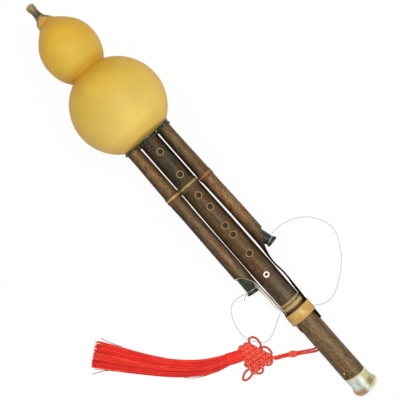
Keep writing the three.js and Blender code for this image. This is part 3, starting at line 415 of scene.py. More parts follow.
def spline(points, steps):
    """A centripetal Catmull-Rom curve through the points, with steps places on each span."""
    def between(p, q, start, end):
        return (p * (end - t) + q * (t - start)) / (end - start)

    pts = [Vector(p) for p in points]
    pts = [2 * pts[0] - pts[1], *pts, 2 * pts[-1] - pts[-2]]
    found = []
    for a, b, c, d in zip(pts, pts[1:], pts[2:], pts[3:]):
        gaps = [sqrt(max((q - p).length, 1e-6)) for p, q in ((a, b), (b, c), (c, d))]
        ta, tb, tc, td = 0, *accumulate(gaps)
        for i in range(steps):
            t = tb + (tc - tb) * i / steps
            ab, bc, cd = between(a, b, ta, tb), between(b, c, tb, tc), between(c, d, tc, td)
            found.append(between(between(ab, bc, ta, tc), between(bc, cd, tb, td), tb, tc))
    return [*found, pts[-2]]


def bezier(a, b, c, steps):
    a, b, c = Vector(a), Vector(b), Vector(c)
    shares = [i / steps for i in range(steps + 1)]
    return [a * (1 - t) ** 2 + b * 2 * t * (1 - t) + c * t * t for t in shares]


def distances(points):
    """How far along the line each of its points lies."""
    return [0, *accumulate((b - a).length for a, b in zip(points, points[1:]))]


def resampled(points, count):
    """The same line in count equal steps."""
    far = distances(points)
    found, k = [], 0
    for i in range(count + 1):
        goal = far[-1] * i / count
        while k < len(points) - 2 and far[k + 1] < goal:
            k += 1
        span = far[k + 1] - far[k]
        found.append(points[k].lerp(points[k + 1], (goal - far[k]) / span if span else 0))
    return found


def length_of(points):
    return sum((b - a).length for a, b in zip(points, points[1:]))


def interpolated(x, pairs):
    """The value at x of a line through (place, value) pairs."""
    if x <= pairs[0][0]:
        return pairs[0][1]
    for (a, va), (b, vb) in zip(pairs, pairs[1:]):
        if x <= b:
            return va + (vb - va) * (x - a) / (b - a)
    return pairs[-1][1]


# Meshes
def object_from(name, verts, faces, place=pipe_row):
    """A mesh from points in millimetres, each put in its place."""
    mesh = bpy.data.meshes.new(name)
    mesh.from_pydata([place(v) for v in verts], [], faces)
    mesh.validate()
    return added(name, mesh)


def body_faces(rows, columns, closed=False):
    """Quads between rings of points; the row of rings is closed on itself or capped."""
    faces = []
    for r in range(rows if closed else rows - 1):
        s = (r + 1) % rows
        for c in range(columns):
            d = (c + 1) % columns
            faces.append((r * columns + c, s * columns + c, s * columns + d, r * columns + d))
    if not closed:
        last = (rows - 1) * columns
        faces += [tuple(range(columns))[::-1], tuple(range(last, last + columns))]
    return faces


def outward(obj):
    """The object with all its faces turned outward."""
    made = bmesh.new()
    made.from_mesh(obj.data)
    bmesh.ops.recalc_face_normals(made, faces=made.faces)
    made.to_mesh(obj.data)
    made.free()
    return obj


def loft(name, rings, place=pipe_row, closed=False):
    """A closed body through rings of points; open ends are capped."""
    verts = [p for ring in rings for p in ring]
    return outward(object_from(name, verts, body_faces(len(rings), len(rings[0]), closed), place))


def lathe(name, profile, sides=96, turn=None, place=pipe_row):
    """A turned body about X from (station, radius) pairs, moved by a matrix in millimetres."""
    move = turn or Matrix.Identity(4)
    closed = profile[0] == profile[-1]
    rings = [
        [move @ Vector((x, r * sin(a), r * cos(a))) for a in around(sides)]
        for x, r in (profile[:-1] if closed else profile)
    ]
    return loft(name, rings, place, closed)


def rings_along(points, radius, sides, closed=False):
    """Rings round each point of a line, carried along it without a twist."""
    rings, normal, last = [], None, len(points) - 1
    for i, p in enumerate(points):
        if closed:
            run = points[(i + 1) % len(points)] - points[i - 1]
        else:
            run = points[min(i + 1, last)] - points[max(i - 1, 0)]
        run = run.normalized()
        if normal is None:
            normal = run.orthogonal().normalized()
        normal = (normal - run * normal.dot(run)).normalized()
        side = run.cross(normal)
        rings.append([p + (normal * cos(a) + side * sin(a)) * radius for a in around(sides)])
    return rings


def tube(name, points, radius, sides=10, place=pipe_row, closed=False):
    """A round tube whose rings are centred on the points, with UVs round it and along it."""
    pts = [Vector(p) for p in points]
    obj = loft(name, rings_along(pts, radius, sides, closed), place, closed)
    far = distances(pts)
    uv = obj.data.uv_layers.new(name="UVMap")
    for loop in obj.data.loops:
        ring, step = divmod(loop.vertex_index, sides)
        uv.data[loop.index].uv = (step / sides, far[ring])
    return obj


def combined(obj, others, operation):
    """The object joined with the others or cut by them, which are used up."""
    for other in others:
        step = obj.modifiers.new("join", "BOOLEAN")
        step.operation = operation
        step.solver = "EXACT"
        step.object = other
    shown =obj.evaluated_get(bpy.context.evaluated_depsgraph_get())
    old, obj.data = obj.data, bpy.data.meshes.new_from_object(shown)
    obj.modifiers.clear()
    bpy.data.meshes.remove(old)
    for other in others:
        bpy.data.objects.remove(other)
    return obj


def cut(obj, *cutters):
    return combined(obj, cutters, "DIFFERENCE")


def together(objs, name):
    """Separate meshes as one object."""
    made = bmesh.new()
    made.loops.layers.uv.new("UVMap")
    for obj in objs:
        made.from_mesh(obj.data)
    mesh = bpy.data.meshes.new(name)
    made.to_mesh(mesh)
    made.free()
    for obj in objs:
        bpy.data.objects.remove(obj)
    return added(name, mesh)


def smooth(obj, limit=32):
    """Smooth shading, with the edges sharper than the limit kept crisp."""
    made = bmesh.new()
    made.from_mesh(obj.data)
    for face in made.faces:
        face.smooth = True
    for edge in made.edges:
        if len(edge.link_faces) == 2:
            edge.smooth = edge.calc_face_angle(0) < radians(limit)
    made.to_mesh(obj.data)
    made.free()
    return obj


def finished(obj, material, nodes, slot, body="root", limit=32):
    """Shading, material, the CAD nodes that the piece stands for, its slot and its body."""
    smooth(obj, limit)
    obj.data.materials.clear()
    obj.data.materials.append(material)
    if nodes:
        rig.replaces(obj, *nodes)
    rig.slot(obj, slot)
    if body:
        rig.ride(obj, body)
    return obj


def second_material(obj, material, chosen):
    """Another material on the faces whose middle, in the instrument's own frame, is chosen."""
    obj.data.materials.append(material)
    for face in obj.data.polygons:
        if chosen(laid(face.center)):
            face.material_index = 1


# Materials
def srgb(r, g, b, strength=1):
    """A colour as 0 to 255 display values, in the renderer's own linear values."""
    def linear(v):
        v /= 255
        return v / 12.92 if v <= 0.04045 else ((v + 0.055) / 1.055) ** 2.4
    return (linear(r), linear(g), linear(b), strength)


class Look:
    """A material's nodes, made one after the other. Colours are given as display values."""

    def __init__(self, name, roughness, **inputs):
        self.material = bpy.data.materials.new(name)
        self.material.use_nodes = True
        self.tree = self.material.node_tree
        self.shader = self.tree.nodes["Principled BSDF"]
        for key, value in {"Roughness": roughness, **inputs}.items():
            self.put(self.shader, key.replace("_", " "), value)
        self.base = self.height = None

    def put(self, node, key, value):
        """Links a node's input to another node's output, or sets it."""
        if hasattr(value, "is_output"):
            self.tree.links.new(value, node.inputs[key])
        else:
            node.inputs[key].default_value = value

    def node(self, kind, inputs=None, **settings):
        made = self.tree.nodes.new("ShaderNode" + kind)
        for key, value in settings.items():
            setattr(made, key, value)
        for key, value in (inputs or {}).items():
            self.put(made, key, value)
        return made

    @cached_property
    def places(self):
        """Places in the instrument's own frame, in millimetres."""
        return self.node("Mapping", {
            "Vector": self.node("TexCoord").outputs["Object"],
            "Location": Vector(BACK.translation) / MM,
            "Rotation": BACK.to_euler(),
            "Scale": (1 / MM,) * 3,
        }).outputs["Vector"]

    @cached_property
    def axes(self):
        return self.parts(self.places)

    def parts(self, vector):
        return list(self.node("SeparateXYZ", {"Vector": vector}).outputs)

    def around_and_along(self):
        """A tube's UVs: a share of a turn round it, and millimetres along it."""
        return self.parts(self.node("UVMap").outputs["UV"])[:2]

    def away(self, centre):
        """The distance from a place."""
        made = self.node("VectorMath", {0: self.places, 1: centre}, operation="DISTANCE")
        return made.outputs["Value"]

    def math(self, operation, a, b=0, c=0):
        return self.node("Math", {0: a, 1: b, 2: c}, operation=operation).outputs[0]

    def times(self, first, *others):
        for other in others:
            first = self.math("MULTIPLY", first, other)
        return first

    def noise(self, scale, detail=3, roughness=0.5, distortion=0):
        """Noise over the places; three scales instead of one stretch it."""
        vector = self.places
        if isinstance(scale, tuple):
            vector = self.node("VectorMath", {0: vector, 1: scale}, operation="MULTIPLY").outputs[0]
            scale = 1
        return self.node("TexNoise", {
            "Vector": vector, "Scale": scale, "Detail": detail, "Roughness": roughness,
            "Distortion": distortion,
        }).outputs["Fac"]

    def range(self, value, low, high, to_low=0.0, to_high=1.0):
        return self.node("MapRange", {
            "Value": value, "From Min": low, "From Max": high, "To Min": to_low, "To Max": to_high,
        }).outputs["Result"]

    def spread(self, noise, to_low, to_high):
        """Most of a noise's values between two others."""
        return self.range(noise, 0.3, 0.7, to_low, to_high)

    def ramp(self, factor, stops):
        """Colours at (place, colour) stops, with the strength as a fourth number."""
        made = self.node("ValToRGB", {"Fac": factor})
        elements = made.color_ramp.elements
        while len(elements) < len(stops):
            elements.new(0.5)
        for element, (place, _) in zip(elements, stops):
            element.position = place
        for element, (_, colour) in zip(elements, stops):
            element.color = srgb(*colour)
        return made.outputs

    def bands(self, x, stops, first, last):
        """Colours along the instrument from (station, colour, strength) stops."""
        factor = self.range(x, first, last)
        return self.ramp(factor, [((s - first) / (last - first), (*c, k)) for s, c, k in stops])

    def ground(self, factor, stops):
        """The first base colour, from (place, colour) stops."""
        self.base = self.ramp(factor, stops)["Color"]

    def tones(self, x, stops, first=40, last=303):
        """The first base colour, along the instrument from (station, colour) stops."""
        self.base = self.bands(x, [(s, c, 1) for s, c in stops], first, last)["Color"]

    def shade(self, factor):
        """Makes the base colour darker or lighter by a factor."""
        inputs = {0: self.base, "Scale": factor}
        self.base = self.node("VectorMath", inputs, operation="SCALE").outputs[0]

    def lay(self, mask, colour):
        """Lays a display colour, or a node's colours, over the base colour where the mask is 1."""
        colour = srgb(*colour) if isinstance(colour, tuple) else colour
        inputs = {"Factor": mask, 6: self.base, 7: colour}
        self.base = self.node("Mix", inputs, data_type="RGBA", blend_type="MIX").outputs[2]

    def rings(self, stops, last, least):
        """Worn rings round a pipe's nodes, from (station, colour, strength) stops."""
        rings = self.bands(self.axes[0], stops, 40, last)
        worn = self.range(self.noise(0.5, 3, 0.6), 0.36, 0.6, least, 1)
        self.lay(self.times(rings["Alpha"], worn), rings["Color"])

    def gloss(self, value):
        self.put(self.shader, "Roughness", value)

    def bump(self, value, depth):
        """Relief of a depth in metres."""
        inputs = {"Height": value, "Distance": depth, "Strength": 1.0}
        if self.height:
            inputs["Normal"] = self.height
        self.height = self.node("Bump", inputs).outputs["Normal"]
        self.put(self.shader, "Normal", self.height)

    def finished(self):
        """The material, with its base colour in place."""
        self.put(self.shader, "Base Color", self.base)
        return self.material


def grained(name, roughness, grain, stops, depth=0, gloss=None, **inputs):
    """A look whose colour, and where asked its relief and gloss, follow one grain."""
    look = Look(name, roughness, **inputs)
    noise = look.noise(*grain)
    look.ground(noise, stops)
    if gloss:
        look.gloss(look.spread(noise, *gloss))
    if depth:
        look.bump(noise, depth)
    return look


def gourd_look():
    look = Look("gourd_skin", 0.5, Specular_IOR_Level=0.2)
    x, _, z = look.axes
    look.tones(x, [
        (-96, (174, 128, 42)), (-88, (178, 134, 42)), (-80, (192, 153, 46)), (-70, (200, 161, 54)),
        (-56, (204, 168, 60)), (-45, (203, 176, 68)), (-37, (196, 148, 46)), (-27, (197, 154, 46)),
        (-18, (204, 168, 63)), (-8, (208, 173, 70)), (10, (207, 177, 85)), (25, (224, 194, 99)),
        (34, (226, 190, 88)), (44, (210, 160, 62)),
    ], -96, 44)
    # painted shade: lower down each bulb the skin is laid darker and more orange
    look.lay(look.range(z, 32, 4, 0, 0.5), (208, 152, 44))
    look.shade(look.spread(look.noise(0.035, 4, 0.55), 0.92, 1.07))
    freckles = look.range(look.noise(0.9, 2, 0.6), 0.66, 0.76)
    look.lay(look.times(freckles, 0.22), (182, 128, 44))
    look.gloss(look.spread(look.noise(0.16, 3), 0.44, 0.58))
    look.bump(look.noise(0.12, 2), 0.00012)
    look.bump(look.noise(1.6, 3), 0.00002)
    return look.finished()


def bamboo(name, tones, axis, radius, left, right, stain, lit):
    """Pipe bamboo: ground tones along the pipe, streaks, stains, painted shade on the flanks and a painted highlight.
    """
    look = Look(name, 0.46, Specular_IOR_Level=0.16)
    x, y, _ = look.axes
    look.tones(x, tones)
    streaks = look.noise((0.03, 1.5, 1.5), 4, 0.62)
    mottle = look.noise((0.14, 0.55, 0.55), 5, 0.72, 0.25)
    blotch = look.noise((0.045, 0.15, 0.15), 4, 0.6, 0.6)
    olive = look.noise((0.1, 0.5, 0.5), 3, 0.65, 0.4)
    specks = look.noise((0.6, 0.9, 0.9), 2, 0.6)
    look.lay(look.range(blotch, 0.48, 0.66, 0, 0.55), stain)
    look.lay(look.range(olive, 0.52, 0.68, 0, 0.5), (72, 66, 36))
    tone = look.times(look.spread(streaks, 0.78, 1.22), look.range(mottle, 0.36, 0.64, 0.6, 1.42),
                      look.range(specks, 0.5, 0.66, 1.08, 0.5))
    # painted shade: each flank darkens towards its side, as set by left and right; lit lifts it over a stretch of the
    # pipe
    out = look.math("DIVIDE", look.math("SUBTRACT", y, axis), radius)
    painted_flank_shade = look.times(look.range(out, -0.93, -left[0], left[1], 1),
                        look.range(out, right[0], 0.93, 1, right[1]))
    painted_flank_shade = look.math("MAXIMUM", painted_flank_shade, look.range(x, *lit[:2], 0, lit[2]))
    look.shade(look.times(tone, painted_flank_shade))
    # painted highlight: a pale grey band laid along the pipe a little off its middle, strongest past station 226
    painted_sheen = look.range(look.math("ABSOLUTE", look.math("SUBTRACT", out, 0.2)), 0.36, 0.04, 0, 0.28)
    along = look.math("MAXIMUM", look.range(x, 226, 244), look.range(x, 180, 198, 0, 0.6))
    look.lay(look.times(painted_sheen, along), (142, 128, 104))
    look.gloss(look.spread(mottle, 0.36, 0.52))
    look.bump(streaks, 0.00004)
    look.bump(mottle, 0.00005)
    return look


def on_pipe(station, degrees, radius, aside=0):
    """A place on the melody pipe's skin, in the instrument's own frame."""
    a = radians(degrees)
    return (station, radius * sin(a) + PIPES_ASIDE + aside, radius * cos(a))


def melody_look():
    # the melody pipe's flanks get painted shade, mostly lifted past station 242
    look = bamboo("dark_bamboo", [
        (40, (64, 53, 34)), (70, (55, 50, 33)), (84, (52, 46, 31)), (97, (78, 62, 38)),
        (120, (89, 67, 41)), (150, (94, 70, 41)), (180, (91, 69, 43)), (206, (79, 66, 48)),
        (236, (112, 89, 58)), (262, (121, 95, 62)), (285, (116, 89, 57)), (303, (106, 84, 53)),
    ], PIPES_ASIDE, 9.3, (0.4, 0.5), (0.55, 0.25), (96, 54, 32), (224, 242, 0.75))
    dark, cream, tawny = (34, 26, 20), (204, 176, 112), (140, 106, 64)
    look.rings([
        (40, dark, 0), (85.6, dark, 0), (86.6, tawny, 0.5), (87.4, dark, 0.9), (88.8, dark, 0.7),
        (89.5, cream, 0.8), (90.6, cream, 0.8), (91.5, dark, 0.8), (93.2, tawny, 0.4), (95, dark, 0),
        (214, dark, 0), (217.4, dark, 0.5), (217.8, cream, 0.9), (218.6, cream, 0.9),
        (219.2, dark, 0.95), (220.4, dark, 0.95), (220.9, cream, 0.85), (223, cream, 0.85),
        (223.9, tawny, 0.9), (224.8, dark, 0.85), (227, dark, 0.6), (240, dark, 0),
    ], 303, 0.5)
    nearest = None
    for station, turn in FINGER_HOLES:
        away = look.away(on_pipe(station, turn, PIPE_TOP_RADIUS + 0.1))
        nearest = away if nearest is None else look.math("MINIMUM", nearest, away)
    rim = look.ramp(look.range(nearest, 2, 4), [
        (0, (104, 88, 50, 0.9)), (0.22, (128, 106, 62, 0.9)), (0.36, (184, 158, 110, 0.9)),
        (0.54, (160, 134, 90, 0.85)), (0.66, (60, 48, 34, 0.5)), (0.85, (60, 48, 34, 0)),
    ])
    look.lay(rim["Alpha"], rim["Color"])
    vent = on_pipe(VENT - 0.3, VENT_TURN, PIPE_END_RADIUS, -0.5)
    look.lay(look.range(look.away(vent), 1.3, 0.8), (244, 206, 120))
    lip = look.math("MULTIPLY_ADD", look.axes[1], -0.1, look.axes[0])
    look.lay(look.range(lip, 300.5, 300.9), (216, 212, 180))
    return look.finished()


DRONE_TONES = {
    "left": [
        (40, (123, 91, 54)), (84, (123, 91, 54)), (100, (103, 80, 51)), (130, (114, 88, 60)),
        (162, (128, 98, 64)), (176, (102, 83, 45)), (200, (90, 70, 36)), (246, (110, 82, 50)),
    ],
    "right": [
        (40, (107, 82, 49)), (84, (109, 84, 51)), (104, (126, 92, 55)), (140, (134, 100, 62)),
        (152, (100, 80, 48)), (164, (74, 58, 36)), (246, (76, 58, 36)),
    ],
}


def drone_look(name):
    d, left = DRONES[name], name == "left"
    axis = d["side"] * (PITCH + FAN / 2) + PIPES_ASIDE
    # the drones' flanks get painted shade; on the left drone it is lifted past station 206
    look = bamboo(name + "_drone_bamboo", DRONE_TONES[name], axis, 6.3, (0.08, 0.15),
                  (0.35, 0.4 if left else 0.75), (98, 58, 32), (196, 206, 1 if left else 0))
    n, dark, red = d["node"], (62, 40, 26), (116, 76, 48)
    # the cream line on each node is partly its own colour and partly a painted highlight, paler on the left drone
    cream = (206, 172, 108) if left else (168, 116, 72)
    look.rings([
        (40, dark, 0), (n - 4.2, dark, 0), (n - 3.2, red, 0.85), (n - 2, dark, 0.7),
        (n - 1.2, red, 0.9), (n - 0.5, cream, 0.85), (n + 0.3, cream, 0.8), (n + 1.1, red, 0.9),
        (n + 2, dark, 0.75), (n + 3, red, 0.8), (n + 4.4, red, 0),
    ], 250, 0.45)
    return look.finished()


def cut_wood(name, pale, dark, **inputs):
    """Bare bamboo, where a wall is cut through or inside the bore."""
    stops = [(0.3, dark), (0.7, pale)]
    return grained(name, 0.6, ((0.08, 3.5, 3.5), 3, 0.6), stops, 0.00006, **inputs)


def left_cut_look():
    """The pale left cut, with a painted shadow along its inner edge."""
    look = cut_wood("left_cut_bamboo", (255, 252, 238), (244, 236, 210))
    x, y, _ = look.axes
    # painted shadow: a dark brown line laid along the cut's inner edge
    shadow_line = look.range(x, 190, 226, -12.1, -10.9)
    inner = look.range(look.math("SUBTRACT", y, shadow_line), -0.15, 0.25)
    look.lay(look.times(inner, look.range(x, 192, 198)), (70, 54, 34))
    return look.finished()


def horn_look():
    """Dark horn, with pale glue along the gourd's round end."""
    look = grained("dark_horn", 0.34, ((0.08, 0.35, 0.35), 4, 0.6, 0.8), [
        (0.3, (26, 32, 28)), (0.52, (40, 48, 38)), (0.75, (86, 90, 62)),
    ], Specular_IOR_Level=0.35)
    x, y, z = look.axes
    out = look.node("CombineXYZ", {"Y": y, "Z": z}).outputs[0]
    out = look.node("VectorMath", {0: out}, operation="LENGTH").outputs["Value"]
    near = look.math("POWER", look.math("DIVIDE", out, BULB_SHOULDER_RADIUS), 3)
    flat = look.math("SUBTRACT", FLOOR, look.times(near, FLOOR_BULGE))
    square = look.math("SUBTRACT", BULB_RADIUS ** 2, look.times(out, out))
    round_part = look.math("ADD", look.math("SQRT", look.math("MAXIMUM", square, 0)), BULB)
    above = look.math("SUBTRACT", x, look.math("MINIMUM", flat, round_part))
    look.lay(look.range(above, 0.45, 0.7, 0.6, 0), (204, 190, 142))
    look.gloss(look.spread(look.noise(0.8, 3), 0.24, 0.4))
    look.bump(look.noise((3, 0.4, 0.4), 2), 0.00002)
    return look.finished()


def nib_look():
    look = Look("mouthpiece_horn", 0.32, Coat_Weight=0.1, Coat_Roughness=0.25, Specular_IOR_Level=0.4)
    x, y, _ = look.axes
    veins = look.noise((0.3, 0.3, 0.3), 3, 0.6, 0.5)
    along = look.math("ADD", x, look.times(look.math("SUBTRACT", veins, 0.5), 3))
    look.tones(along, [
        (-114, (158, 148, 90)), (-110, (146, 132, 82)), (-107, (128, 108, 70)),
        (-104, (104, 88, 56)), (-101.4, (76, 70, 42)), (-99, (72, 62, 36)), (-97.6, (120, 98, 54)),
        (-96.2, (186, 152, 82)), (-94, (186, 144, 62)), (-89, (192, 144, 58)),
    ], -114, -88)
    aside = look.math("ABSOLUTE", look.math("ADD", y, 0.9))
    reach = look.math("MULTIPLY_ADD", x, 1.1, 107.6)
    sides = look.range(look.math("SUBTRACT", aside, reach), -0.6, 0.5)
    look.lay(look.times(sides, look.range(x, -98, -96.5)), (88, 76, 44))
    look.shade(look.spread(veins, 0.85, 1.15))
    look.bump(look.noise((3, 0.4, 0.4), 2), 0.00002)
    return look.finished()


def foot_look():
    """Pale horn, with painted shade at the sides and in brown and olive patches, a painted highlight, and cream
    patches.
    """
    look = grained("pale_horn", 0.24, ((0.12, 0.22, 0.22), 4, 0.6, 1.2), [
        (0.3, (168, 176, 160)), (0.48, (200, 208, 200)), (0.7, (224, 229, 222)),
    ], Coat_Weight=0.25, Coat_Roughness=0.15, Subsurface_Weight=0.08,
        Subsurface_Radius=(0.002, 0.0018, 0.0012))
    x, y, _ = look.axes
    # painted shade: darker olive towards both sides
    look.lay(look.range(look.math("ABSOLUTE", y), 7.2, 9.8, 0, 0.75), (142, 134, 96))
    look.lay(look.range(y, 0.5, 3.5, 0, 0.85), (188, 182, 122))
    look.lay(look.range(x, 303.4, 301.8, 0, 0.7), (222, 216, 176))
    # brown, olive and grey patches are painted shade, the brightest cream one a painted highlight; the other cream one
    # is the rim's own colour
    for colour, strength, *edges in (
        ((166, 128, 76), 0.95, (x, 310.2, 312.6), (x, 319.5, 317.6), (y, -0.4, -2.4)),
        ((134, 114, 56), 0.9, (x, 307.2, 309.9), (x, 314.2, 312.4), (y, 2, 4.4), (y, 8.8, 7.4)),
        ((236, 232, 204), 0.9, (x, 314.6, 316), (y, -1, 0.6)),
        ((226, 220, 184), 0.8, (x, 312.4, 314), (y, 6.4, 9)),
        ((150, 152, 138), 0.75, (x, 306.4, 309), (x, 313.8, 312), (y, 8.2, 9.8)),
    ):
        look.lay(look.times(strength, *[look.range(*edge) for edge in edges]), colour)
    look.bump(look.noise(0.9, 3), 0.00002)
    return look.finished()


def strip_look():
    look = grained("band_strip", 0.42, ((2.6, 0.12, 0.12), 4, 0.6), [
        (0.28, (168, 116, 54)), (0.5, (192, 144, 72)), (0.74, (212, 176, 96)),
    ], 0.00008, Coat_Weight=0.1, Coat_Roughness=0.3)
    patch = look.range(look.noise(0.14, 3, 0.6), 0.44, 0.62)
    look.lay(look.times(patch, 0.6), (206, 188, 106))
    return look.finished()


def braid_look(name, dark, mid, light, shade=None):
    """Braided cord, from UVs round and along it; a low place may get painted shade."""
    look = Look(name, 0.5, Specular_IOR_Level=0.2)
    u, v = look.around_and_along()
    turn = look.times(u, 2 * pi * BRAID_TURNS)
    along = look.times(v, 2 * pi / BRAID_PITCH)
    waves = [look.math("SINE", look.math(way, turn, along)) for way in ("ADD", "SUBTRACT")]
    weave = look.range(look.math("MAXIMUM", *waves), -0.6, 1)
    look.ground(weave, [(0, dark), (0.5, mid), (1, light)])
    if shade:
        # painted shade: the lower the cord lies, the darker it is laid
        low, high, colour = shade
        height = look.parts(look.node("NewGeometry").outputs["Position"])[2]
        look.lay(look.range(height, low * MM, high * MM, 0.95, 0), colour)
    look.bump(weave, 0.00012)
    return look.finished()


def silk_look():
    look = Look("tassel_silk", 0.5, Specular_IOR_Level=0.25)
    tone = look.node("Attribute", attribute_name="tone").outputs["Fac"]
    mixed = look.math("ADD", look.times(tone, 0.7), look.times(look.noise(0.12, 3, 0.6), 0.3))
    look.ground(mixed, [
        (0, (96, 30, 22)), (0.12, (186, 24, 16)), (0.36, (224, 38, 28)), (0.7, (240, 56, 40)),
        (1, (250, 100, 78)),
    ])
    look.bump(look.noise(2.4, 2), 0.00004)
    return look.finished()


def thread_look(name, colour, dark):
    look = Look(name, 0.35)
    twist = look.math("SINE", look.times(look.around_and_along()[1], 5))
    look.ground(look.range(twist, -1, 1), [(0, dark), (1, colour)])
    look.bump(twist, 0.00002)
    return look.finished()


BRAID_TURNS, BRAID_PITCH = 3, 2.2
GOURD = gourd_look()
MELODY = melody_look()
HORN = horn_look()
FOOT = foot_look()
NIB = nib_look()
STRIP = strip_look()
BONE = grained("bone", 0.35, ((2, 2, 0.4), 3, 0.6), [
    (0.35, (222, 212, 176)), (0.65, (246, 240, 220)),
], 0.00002).finished()
# The bore's bamboo has a faint emission: painted light, standing in for daylight that reaches the bore through the
# holes
PAINTED_GLOW_BORE = cut_wood("bore_bamboo_painted_glow", (120, 100, 62), (84, 68, 42),
                  Emission_Color=srgb(46, 38, 24), Emission_Strength=1).finished()
BRASS = grained("reed_brass", 0.3, ((0.4, 9, 9), 3, 0.6), [
    (0.3, (176, 140, 72)), (0.7, (214, 182, 106)),
], 0.00001, (0.22, 0.42), Metallic=1.0).finished()
CORD_RED = braid_look("red_cord_braid", (180, 22, 16), (222, 42, 32), (244, 84, 66))
# the knot's low cords, where they pass under others, get painted shade
KNOT_RED = braid_look("red_knot_braid", (212, 40, 24), (240, 62, 42), (255, 116, 92),
                      (2, 3.3, (132, 6, 4)))
SILK = silk_look()
LINE = thread_look("plug_line", (178, 178, 176), (140, 140, 140))
BINDING = thread_look("binding_thread", (168, 166, 132), (104, 104, 80))
DRONE_LOOKS = {name: drone_look(name) for name in DRONES}
CUT_LOOKS = {
    "left": left_cut_look(),
    # the right cut is the same bare bamboo, coloured dark brown as painted shade
    "right": cut_wood("right_cut_bamboo_painted_shade", (84, 66, 42), (50, 38, 24)).finished(),
}


# Cords and threads
def loose_cord(name, other_node):
    """One strand from its hole in the pipe to the pan-chang knot, and its route."""
    points = resampled(spline(CORDS[name], 8), CORD_STEPS)
    made = tube("tassel_cord_" + name + "_piece", points, CORD / 2, 12, on_table)
    finished(made, CORD_RED, ["tassel_cord_" + name, other_node], "red_cord")
    return made, [on_table(p) for p in points]


def plug_thread(name):
    """The thread between a plug and its tongue: its start follows the plug, its end stays."""
    points = resampled(spline(THREADS[name], 8), THREAD_STEPS)
    made = tube(name + "_plug_thread_piece", points, THREAD / 2, 8, on_table)
    finished(made, LINE, [name + "_plug_thread"], "thread", body=None)
    route = [on_table(p) for p in points]
    tip, table = [on_table(THREADS[name][i]) for i in (0, THREAD_LANDING)]
    way = Vector((-1, -0.7 * DRONES[name]["side"], 0.8))
    reach = (tip - table).dot(way) / way.length_squared
    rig.blend(made, "root", name + "_plug", start=tip - way * reach, end=tip)
    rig.cord(made, exit=route[-1], length=length_of(route), diameter=THREAD * MM,
            far_end="object", stiffness="limp", lay="loose", path=route)


# Gourd
def gourd_profile(grow=0, steps=90):
    """Both bulbs' outline from the tip to the floor of the big bulb."""
    radius, big = SMALL_BULB_RADIUS + grow, BULB_RADIUS + grow
    small = spline([(SMALL_BULB + a * radius, r * radius, 0) for a, r in SMALL_BULB_SHARES], 10)
    outline = [(p.x, p.y) for p in small if hypot(p.x - BULB, p.y) > big]
    start = pi - asin(min(1, outline[-1][1] / big))
    end = asin(BULB_SHOULDER_RADIUS / BULB_RADIUS)
    for i in range(1, steps + 1):
        a = start + (end - start) * i / steps
        outline.append((BULB + big * cos(a), big * sin(a)))
    floor = [(FLOOR + grow, BULB_FLOOR_RADIUS, 0), (FLOOR + grow, CORE, 0)]
    return outline + [(p.x, p.y) for p in bezier((*outline[-1], 0), *floor, 14)[1:]]


def make_gourd():
    shell = lathe("gourd_skin_piece", gourd_profile(), 144, place=gourd_row)
    inside = [(x, r) for x, r in gourd_profile(-GOURD_WALL, 40) if x > GOURD_TIP + GOURD_NECK]
    room = lathe("room", inside, 64, place=gourd_row)
    mouth = lathe("mouth", [
        (GOURD_TIP - OVERRUN, MOUTH_RADIUS), (GOURD_TIP + MOUTH_DEPTH, MOUTH_RADIUS),
    ], 40, place=nib_row)
    bores = [
        lathe("bore", [(10, r + GAP), (BULB_RADIUS + 2, r + GAP)], 48, Matrix.Translation((0, y, 0)))
        for y, r in ((0, PIPE_TENON), (PITCH, DRONE_TENON), (-PITCH, DRONE_TENON))
    ]
    cut(shell, room, mouth, *bores)
    for v in shell.data.vertices:
        away = v.co - BULB_PLACE
        v.co += away.normalized() * noise.noise(v.co * SKIN_WAVES) * SKIN_RELIEF
    return finished(shell, GOURD, ["gourd_shell"], "gourd", limit=40)


def make_nib():
    profile = [(NIB_TIP + x + NIB_DRAWN_IN * max(0, 1 - x / NIB_NECK), r) for x, r in NIB_PROFILE]
    nib = lathe("mouthpiece_piece", profile, 72, place=nib_row)
    grown = [(GOURD_TIP - NIB_SEAM, 4), *[p for p in gourd_profile(NIB_SEAM) if p[0] < -60]]
    saddle = lathe("saddle", grown, 72, place=gourd_row)
    keep = lathe("keep", [(GOURD_TIP - 2, NIB_TENON), (-50, NIB_TENON)], 40, place=nib_row)
    cut(saddle, keep)
    cut(nib, saddle)
    return finished(nib, NIB, ["mouthpiece"], "dark_horn")


# Pipes
def ridge(station, height, width):
    """A node's two rolls with the groove between them, as (station, height) pairs."""
    rise = [(1, 0), (0.8, 0.25), (0.6, 0.75), (0.45, 0.97), (0.3, 1), (0.15, 0.75)]
    shape = [*[(-a, h) for a, h in rise], (0, 0.35), *rise[::-1]]
    return [(station + a * width, h * height) for a, h in shape]


def melody_radius(x):
    straight = interpolated(x, [(SHOULDER, PIPE_TOP_RADIUS), (PIPE_END, PIPE_END_RADIUS)])
    return straight + interpolated(x, MELODY_SWELL)


def radial_matrix(station, degrees):
    """Turns a body about X into one that points out of a pipe."""
    a = radians(degrees)
    out = Vector((0, sin(a), cos(a)))
    swing = Vector((1, 0, 0)).rotation_difference(out).to_matrix().to_4x4()
    return Matrix.Translation((station, 0, 0)) @ swing


def hole(station, degrees, radius, rim, chamfer, level=None):
    """A cutter for a hole in the melody pipe, whose rim lies at the skin's level at a station."""
    surface = melody_radius(level or station)
    profile = [
        (0.5, radius), (surface - chamfer, radius), (surface - chamfer / 3, (radius + rim) / 2),
        (surface + 0.05, rim), (surface + OVERRUN, rim + 1.6),
    ]
    return lathe("hole", profile, 40, radial_matrix(station, degrees))


